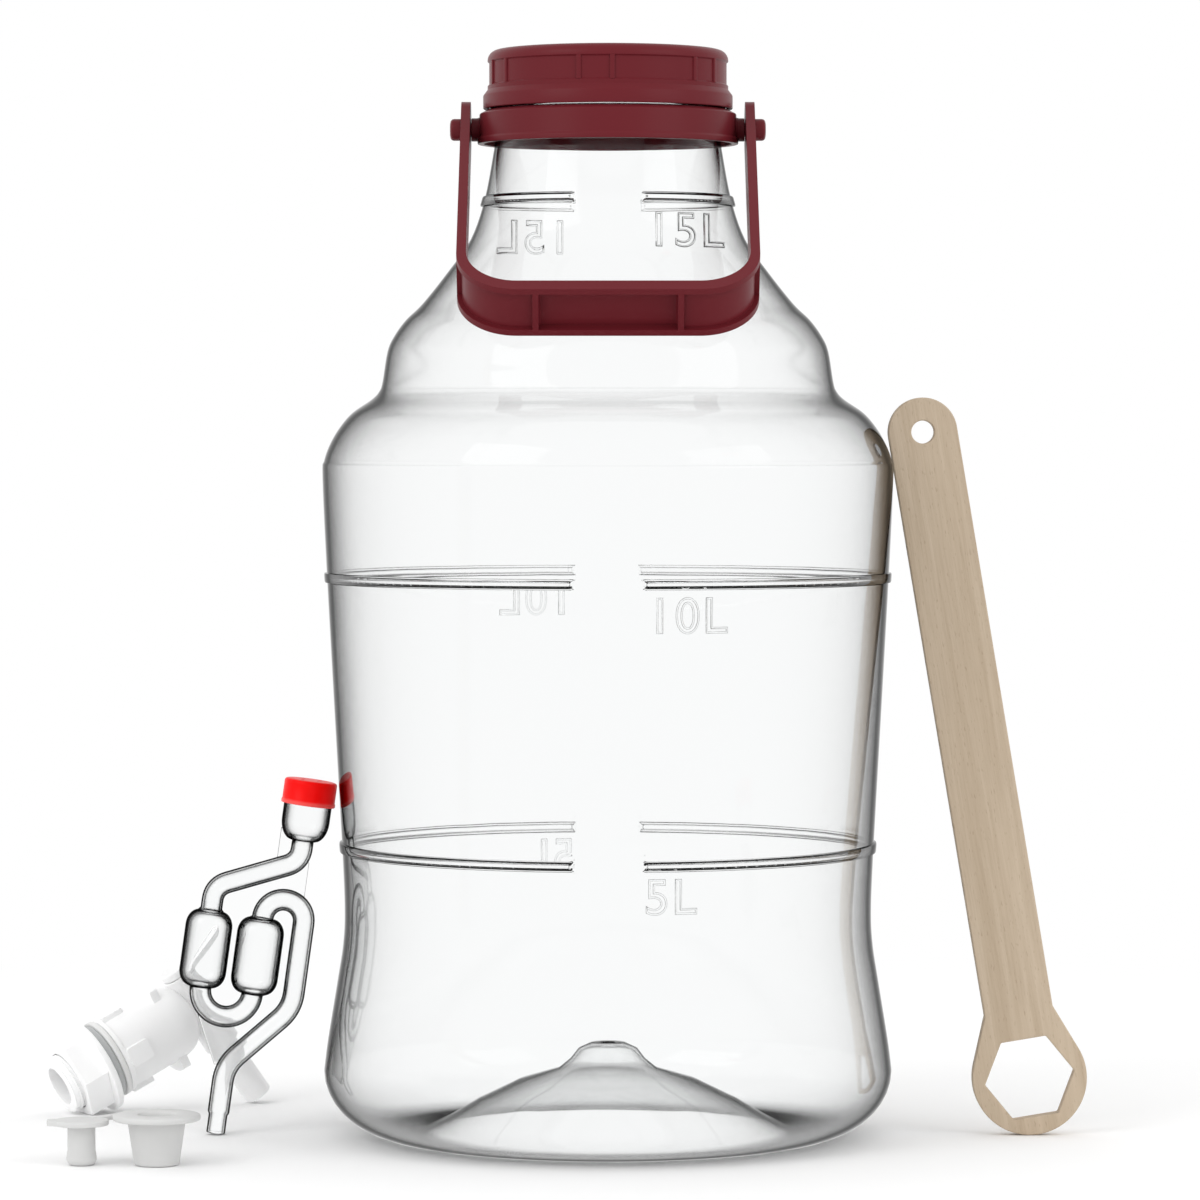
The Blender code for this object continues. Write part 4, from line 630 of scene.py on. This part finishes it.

# The airlock's dust cap: a thin red polyethylene lid with a rolled rim, pushed over the cup. Small vents in
# its top let the gas out. The skirt has a little real subsurface glow, and its lowest rim is painted a lighter
# salmon as painted glow.
dust_foot_mm, vent_r, vent_ring_r = 146.2, 0.9, 5
red_skin, red = new_finish("red_polyethylene")
red_place = red.node("ShaderNodeTexCoord", {}, {}, "Object")
cap_foot = airlock_place @ Vector((cup_x_mm * MM, 0, dust_foot_mm * MM))
cap_axis = airlock_place.to_3x3() @ Vector((0, 0, 1))
from_foot = red.node("ShaderNodeVectorMath", {"operation": "SUBTRACT"}, {0: red_place, 1: tuple(cap_foot)})
up_skirt = red.node("ShaderNodeVectorMath", {"operation": "DOT_PRODUCT"},
                    {0: from_foot, 1: tuple(cap_axis)}, "Value")
red_cloud = red.node("ShaderNodeTexNoise", {}, {"Vector": red_place, "Scale": 260.0, "Detail": 2.0})
# Painted glow: the lowest one to two millimetres of the skirt are painted a lighter salmon, as if lit through.
above_painted_rim_glow = red.maths("MULTIPLY_ADD", up_skirt, 900.0, red_cloud * 0.5 - 1.2)
above_painted_rim_glow = red.node("ShaderNodeClamp", {}, {"Value": above_painted_rim_glow})
red_with_painted_rim_glow = above_painted_rim_glow.blend(colour(252, 86, 82), colour(255, 2, 1))
red_relief = red.node("ShaderNodeBump", {}, {"Height": red_cloud, "Strength": 0.12, "Distance": 0.0003})
red_bsdf = red.node("ShaderNodeBsdfPrincipled", {}, {
    "Base Color": red_with_painted_rim_glow, "Roughness": red_cloud * 0.1 + 0.3, "IOR": 1.5, "Specular IOR Level": 0.12,
    "Normal": red_relief, "Subsurface Weight": 0.15, "Subsurface Radius": (0.004, 0.001, 0.001),
    "Subsurface Scale": 1.0})
red.node("ShaderNodeOutputMaterial", {}, {"Surface": red_bsdf}, None)
dust_form = lathe([
    (0, 156.9), (10.0, 156.9), (10.7, 156.7), (11.1, 156.4), (11.35, 155.9), (11.4, 155.2), (11.4, 147.9),
    (11.65, 147.6), (11.7, 147.3), (11.7, 146.5), (11.5, dust_foot_mm), (10.9, dust_foot_mm), (10.7, 146.4),
    (10.7, 156.2), (0, 156.2)], 72)
vents = []
for quarter in range(4):
    bearing = math.radians(45 + 90 * quarter)
    vents.append(("DIFFERENCE", lathe([(0, 155), (vent_r, 155), (vent_r, 158), (0, 158)], 20, (
        vent_ring_r * MM * math.cos(bearing), vent_ring_r * MM * math.sin(bearing), 0))))
dust_place = airlock_place @ Matrix.Translation((cup_x_mm * MM, 0, 0))
piece("dust_cap", set_in(carved(dust_form, *vents), dust_place), red_skin, "red_polyethylene", "dust_cap",
      "airlock_cap", smooth_deg=40)

# The wrench: a flat ring spanner for the tap's nut, cut from light beech plywood with the face grain running
# along the handle, a hexagon through its ring and a hanging hole in its end.
wrench_foot, wrench_lean = (0.204387, 0, 0.0247), math.radians(-9.5)
wrench_place = Matrix.Translation(wrench_foot) @ Matrix.Rotation(wrench_lean, 4, "Y")
ring_r, handle_half, handle_span, neck_up, board_half, hang_hole_r = 24.7, 14.85, 282.4, 29.3, 4, 4.95
across_flats = 33.8
neck_bearing = math.degrees(
    math.atan2(neck_up, handle_half) - math.acos(ring_r / math.hypot(neck_up, handle_half)))


def hexagon(corner_r):
    """The six corners of a nut's outline, in millimetres."""
    return sweep_mm((0, 0), corner_r, 0, 360, 6)[:-1]


wrench_outline = (
    sweep_mm((0, 0), ring_r, 180 - neck_bearing, 360 + neck_bearing, 64) + [(handle_half, neck_up)]
    + sweep_mm((0, handle_span), handle_half, 0, 180, 40) + [(-handle_half, neck_up)])
hang_hole = sweep_mm((0, handle_span), hang_hole_r, 0, 360, 40)[:-1]
jaw = hexagon(across_flats / math.sqrt(3))
wrench_form = carved(plate(wrench_outline, -board_half, board_half), ("DIFFERENCE", plate(jaw, -7, 7)),
                     ("DIFFERENCE", plate(hang_hole, -7, 7)))
ply_pitch = 0.0032
beech, wood = new_finish("beech_plywood")
wood_place = wood.node("ShaderNodeTexCoord", {}, {}, "Object")
on_board = wood.node("ShaderNodeMapping", {"vector_type": "TEXTURE"}, {
    "Vector": wood_place, "Location": wrench_foot, "Rotation": (0, wrench_lean, 0)})
along_grain = wood.node("ShaderNodeVectorMath", {"operation": "MULTIPLY"}, {0: on_board, 1: (1.0, 1.0, 0.045)})
fibres = wood.node("ShaderNodeTexNoise", {}, {
    "Vector": along_grain, "Scale": 900.0, "Detail": 4.0, "Roughness": 0.6})
figure = wood.node("ShaderNodeTexNoise", {}, {
    "Vector": along_grain, "Scale": 170.0, "Detail": 3.0, "Distortion": 0.8})
flecks = wood.node("ShaderNodeTexNoise", {}, {"Vector": wood.node(
    "ShaderNodeVectorMath", {"operation": "MULTIPLY"}, {0: on_board, 1: (1.0, 1.0, 0.18)}),
    "Scale": 1500.0, "Detail": 1.0})
fleck_mask = wood.node("ShaderNodeMapRange", {"clamp": True}, {
    "Value": flecks, "From Min": 0.64, "From Max": 0.72})
board_depth = wood.node("ShaderNodeSeparateXYZ", {}, {"Vector": on_board}, "Y")
ply_wave = wood.maths("SINE", board_depth * (math.tau / ply_pitch))
facing = wood.node("ShaderNodeSeparateXYZ", {}, {
    "Vector": wood.node("ShaderNodeNewGeometry", {}, {}, "Normal")}, "Y")
on_edge = 1 - wood.maths("ABSOLUTE", facing)
ply_shade = on_edge * wood.node("ShaderNodeMapRange", {"clamp": True}, {
    "Value": ply_wave, "From Min": -0.3, "From Max": 0.3})
face_tone = (figure * 0.65 + fibres * 0.35).blend(colour(158, 137, 111), colour(211, 194, 172))
flecked = (fleck_mask * 0.35).blend(face_tone, colour(138, 115, 90))
wood_tone = (ply_shade * 0.45).blend(flecked, colour(150, 124, 94))
wood_relief = wood.node("ShaderNodeBump", {}, {"Height": fibres, "Strength": 0.35, "Distance": 0.0004})
wood_bsdf = wood.node("ShaderNodeBsdfPrincipled", {}, {
    "Base Color": wood_tone, "Roughness": fibres * 0.2 + 0.55, "IOR": 1.45, "Normal": wood_relief})
wood.node("ShaderNodeOutputMaterial", {}, {"Surface": wood_bsdf}, None)
soften(piece("ring_wrench", set_in(wrench_form, wrench_place), beech, "beech_plywood", "wrench", "wrench",
             smooth_deg=32), 0.5, 2)

# The tap: a white barrel with a threaded stub that goes through a vessel's wall, four lugs and a pair of ears
# for the hand that holds it, and a tapered chamber at its end for the key. It stands on its spout and its nut.
tap_bearing, tap_tip = math.radians(28), math.radians(-26)
tap_place = (Matrix.Translation((-0.1996, 0.078, 0.024429)) @ Matrix.Rotation(tap_bearing, 4, "Z")
             @ Matrix.Rotation(tap_tip, 4, "Y"))
key_shift = Matrix.Translation((47 * MM, 0, 0))
key_tilt = Matrix.Rotation(math.radians(-10), 4, "Y")
key_place = tap_place @ key_shift @ key_tilt
tap_white = moulded_plastic("white_polypropylene", colour(253, 253, 253), roughness=0.38, grain=0.06,
                            sheen_spread=0.08, cloudiness=0.01, thickness_glow=0.15)
stub_r, thread_root_r, pipe_pitch_mm, pipe_turns = 13.2, 12.2, 1.814, 12.4


def helix(root_r, crest_r, pitch_mm, turns, start_mm):
    """A screw thread's ridge of one shape throughout, climbing along +Z from where it starts."""
    bm = bmesh.new()
    shape = [(root_r, -0.42 * pitch_mm), (crest_r, -0.1 * pitch_mm), (crest_r, 0.1 * pitch_mm),
             (root_r, 0.42 * pitch_mm)]
    start = [bm.verts.new((radius * MM, 0, (start_mm + up) * MM)) for radius, up in shape]
    edges = [bm.edges.new((start[corner], start[(corner + 1) % 4])) for corner in range(4)]
    steps = int(40 * turns)
    bmesh.ops.spin(bm, geom=start + edges, cent=(0, 0, 0), axis=(0, 0, 1), steps=steps,
                   dvec=(0, 0, pitch_mm * turns * MM / steps), angle=math.tau * turns)
    bmesh.ops.holes_fill(bm, edges=[edge for edge in bm.edges if edge.is_boundary], sides=4)
    bmesh.ops.recalc_face_normals(bm, faces=bm.faces)
    return bm


barrel_line = [
    (0, -27.0), (12.6, -27.0), (13.0, -26.6), (12.3, -25.9), (12.3, -1.4), (stub_r, -0.9), (stub_r, 0.0),
    (17.7, 0.0), (18.0, 0.3), (18.0, 2.1), (17.7, 2.4), (16.85, 2.4), (16.85, 30.0)]
barrel_line += [(8.3 + 8.55 * math.cos(math.radians(turn)), 30 + 11 * math.sin(math.radians(turn)))
                for turn in range(6, 90, 6)]
barrel_line += [(8.3, 41.0), (6.6, 47.0), (0, 47.0)]
disc_ear = plate(sweep_mm((0, 0), 21.5, 0, 360, 72)[:-1], 26.0, 29.7, "X")
ear_strip = plate([(-9.5, -24), (9.5, -24), (9.5, 24), (-9.5, 24)], 24, 32, "X")
lugs = []
for quarter in range(4):
    lug_place = Matrix.Rotation(math.pi / 2 * quarter, 4, "X") @ Matrix.Translation((7.6 * MM, 0, 16.15 * MM))
    lugs.append(("UNION", set_in(rounded_block((11, 9, 4.8), 1.2), lug_place)))
chamber = set_in(lathe([(0, -21), (8.1, -21), (8.3, -20.8), (6.85, 17.2), (6.6, 17.5), (0, 17.5)], 64),
                 key_shift @ key_tilt)
key_bore = set_in(lathe([(0, -23), (6.78, -23), (5.12, 19.5), (0, 19.5)], 64), key_shift @ key_tilt)
flow_bore = rod([(0, -29), (9, -29), (9, 30), (4, 35), (4, 46.7), (0, 46.7)], 56)
stub_thread = set_in(helix(thread_root_r, stub_r, pipe_pitch_mm, pipe_turns, -25.0),
                     Matrix.Rotation(math.radians(90), 4, "Y"))
tap_form = carved(rod(barrel_line, 96), ("UNION", carved(disc_ear, ("INTERSECT", ear_strip))), *lugs,
                  ("UNION", chamber), ("DIFFERENCE", flow_bore), ("DIFFERENCE", key_bore))
tap = piece("tap_barrel", set_in(tap_form, tap_place), tap_white, "white_polypropylene", "tap", "tap_body",
            smooth_deg=34)
soften(tap, 0.35, 2)
piece("tap_stub_thread", set_in(stub_thread, tap_place), tap_white, "white_polypropylene", "tap",
      smooth_deg=24)

# The tap's key: lever, tapered plug and spout moulded in one piece. The lever's flat is dished inside a
# raised rim, and the plug's side port lines up with the barrel when the lever is turned to pour.
key_form = lathe([
    (0, -51.0), (6.2, -51.0), (6.4, -50.8), (6.4, -23.0), (6.36, -21.3), (4.9, 17.5), (4.9, 17.8), (5.9, 17.8),
    (6.2, 18.1), (6.2, 20.3), (6.0, 20.8), (5.4, 21.2), (0, 21.2)], 56)
lever_outline = [(3.1, -3.5)] + sweep_mm((26, 0), 6, -72, 72, 30) + [(3.1, 3.5)]
lever_dish = [(8.4, -2.5)] + sweep_mm((26, 0), 4.7, -72, 72, 26) + [(8.4, 2.5)]
lever_eye = sweep_mm((29.2, 0), 0.9, 0, 360, 20)[:-1]
spout_bore = lathe([(0, -53), (5.1, -53), (5.1, -21), (4, -14.6), (4, 4), (0, 4)], 48)
side_port = rod([(0, -8.3), (3.6, -8.3), (3.6, 0), (0, 0)], 32)
key_form = carved(
    key_form, ("UNION", plate(lever_outline, 18.1, 21.3, "Z")),
    ("DIFFERENCE", plate(lever_dish, 20.5, 24, "Z")), ("DIFFERENCE", plate(lever_eye, 17, 24, "Z")),
    ("DIFFERENCE", spout_bore), ("DIFFERENCE", side_port))
key = piece("tap_turning_key", set_in(key_form, key_place), tap_white, "white_polypropylene", "key", "tap_key",
            smooth_deg=34)
soften(key, 0.3, 2)

# The tap's nut and washers: a hexagon nut with a round flange, and two rings, one soft grey silicone and one
# white plastic, that seal on the two sides of a vessel's wall.
nut_corner_r, over_stub_r = 19.0, 13.5
nut_flange = rod([(0, -10.0), (21.2, -10.0), (21.5, -9.7), (21.5, -7.3), (21.2, -7.0), (0, -7.0)], 80)
nut_prism = plate(hexagon(nut_corner_r), -22.0, -8.5, "X")
nut_bore = rod([(0, -24), (over_stub_r, -24), (over_stub_r, -5), (0, -5)], 64)
nut_form = carved(nut_flange, ("UNION", nut_prism), ("DIFFERENCE", nut_bore))
nut = piece("tap_hexagon_nut", set_in(nut_form, tap_place), tap_white, "white_polypropylene", "nut", "tap_nut",
            smooth_deg=30)
soften(nut, 0.6, 3)
grey_silicone = moulded_plastic("grey_silicone", colour(190, 192, 192), roughness=0.6, grain=0.25,
                                sheen_spread=0.06, cloudiness=0.05)
washer_tone = moulded_plastic("washer_white", colour(232, 232, 231), roughness=0.5, grain=0.15,
                              sheen_spread=0.06, cloudiness=0.03)
white_ring = rod([(over_stub_r, -2.7), (over_stub_r, -0.3), (18.0, -0.3), (18.2, -0.5), (18.2, -2.5),
                  (18.0, -2.7), (over_stub_r, -2.7)], 72)
piece("tap_white_washer", set_in(white_ring, tap_place), washer_tone, "white_polypropylene", "washers",
      "tap_washer_white", smooth_deg=50)
grey_ring = rod([(over_stub_r, -6.0), (over_stub_r, -3.0), (17.2, -3.0), (17.6, -3.4), (17.6, -5.6),
                 (17.2, -6.0), (over_stub_r, -6.0)], 72)
piece("tap_grey_washer", set_in(grey_ring, tap_place), grey_silicone, "grey_silicone", "washers",
      "tap_washer_grey", smooth_deg=50)

# The bung: a tapered silicone stopper with a flange, bored for the airlock's stem, with a small plug for the
# bore tied to it by a strap. All three are moulded in one colour of milky, slightly clinging silicone.
silicone = moulded_plastic("white_silicone", colour(206, 206, 205), roughness=0.52, grain=0.12,
                           sheen_spread=0.1, cloudiness=0.04, thickness_glow=0.3)
bung_place = Matrix.Translation((-0.1646, -0.098, 0))
bung_form = lathe([
    (4.1, 0.2), (4.4, 0.0), (8.7, 0.0), (9.2, 0.25), (9.5, 0.9), (9.6, 1.6), (12.05, 18.2), (12.3, 18.4),
    (17.4, 18.4), (18.0, 18.7), (18.2, 19.2), (18.2, 20.2), (18.0, 20.7), (17.4, 21.0), (8.2, 21.0),
    (7.85, 20.8), (7.4, 19.8), (4.4, 11.0), (4.1, 10.2), (4.1, 0.2)], 80)
piece("bung_stopper", set_in(bung_form, bung_place), silicone, "white_silicone", "bung", "bung",
      smooth_deg=50)
plug_x_mm, tab_low_mm, tab_high_mm = -31.15, 16.4, 18.6
plug_form = lathe([
    (0, 0), (4.6, 0), (5.3, 0.3), (5.8, 0.9), (6.3, 2.1), (6.28, 3.0), (5.8, 6.3), (5.75, 15.6), (6.1, 16.3),
    (11.0, 16.4), (11.3, 16.7), (11.35, 17.5), (11.3, 18.3), (11.0, 18.6), (0, 18.6)], 64)
plug_tab = plate([
    (plug_x_mm - 14.2, -2.7), (plug_x_mm - 13.2, -3.9), (plug_x_mm - 2, -9.0), (plug_x_mm, 0),
    (plug_x_mm - 4, 5.6), (plug_x_mm - 14.0, 2.9), (plug_x_mm - 14.35, 2.2)], tab_low_mm, tab_high_mm, "Z")
plug_form = carved(set_in(plug_form, Matrix.Translation((plug_x_mm * MM, 0, 0))), ("UNION", plug_tab))
soften(piece("bung_small_plug", set_in(plug_form, bung_place), silicone, "white_silicone", "plug", "bung_plug",
             smooth_deg=46), 0.3, 2)
strap_bearing, from_plug_mm, from_bung_mm, crown_mm = math.radians(65), 11.65, 18.5, 19.0
strap_climb_mm, strap_steps = 2.0, 24
strap_start = Vector((plug_x_mm + from_plug_mm * math.cos(strap_bearing),
                      from_plug_mm * math.sin(strap_bearing)))
strap_end = Vector((from_bung_mm * math.cos(strap_bearing), from_bung_mm * math.sin(strap_bearing)))
strap_crown = (strap_start + strap_end) / 2 + Vector((0, crown_mm))
strap_line = []
for step in range(strap_steps + 1):
    share = step / strap_steps
    strap_line.append(strap_start.lerp(strap_crown, share).lerp(strap_crown.lerp(strap_end, share), share))
strap = bmesh.new()
sections = []
for index, point in enumerate(strap_line):
    heading = strap_line[min(index + 1, strap_steps)] - strap_line[max(index - 1, 0)]
    side = Vector((-heading.y, heading.x)).normalized()
    climb = strap_climb_mm * min(1, max(0, (point.x - strap_start.x) / (strap_end.x - strap_start.x)))
    corners = [strap.verts.new(((point.x + side.x * across) * MM, (point.y + side.y * across) * MM,
                                (tab_low_mm + climb + up) * MM))
               for across, up in ((-2, 0.25), (-1.75, 0), (1.75, 0), (2, 0.25), (2, 1.55), (1.75, 1.8),
                                  (-1.75, 1.8), (-2, 1.55))]
    sections.append([strap.edges.new((corners[corner], corners[(corner + 1) % 8])) for corner in range(8)])
for low, high in zip(sections, sections[1:]):
    bmesh.ops.bridge_loops(strap, edges=low + high)
bmesh.ops.holes_fill(strap, edges=[edge for edge in strap.edges if edge.is_boundary], sides=8)
bmesh.ops.recalc_face_normals(strap, faces=strap.faces)
piece("bung_tie_strap", set_in(strap, bung_place), silicone, "white_silicone", "plug", "bung_strap",
      smooth_deg=50)
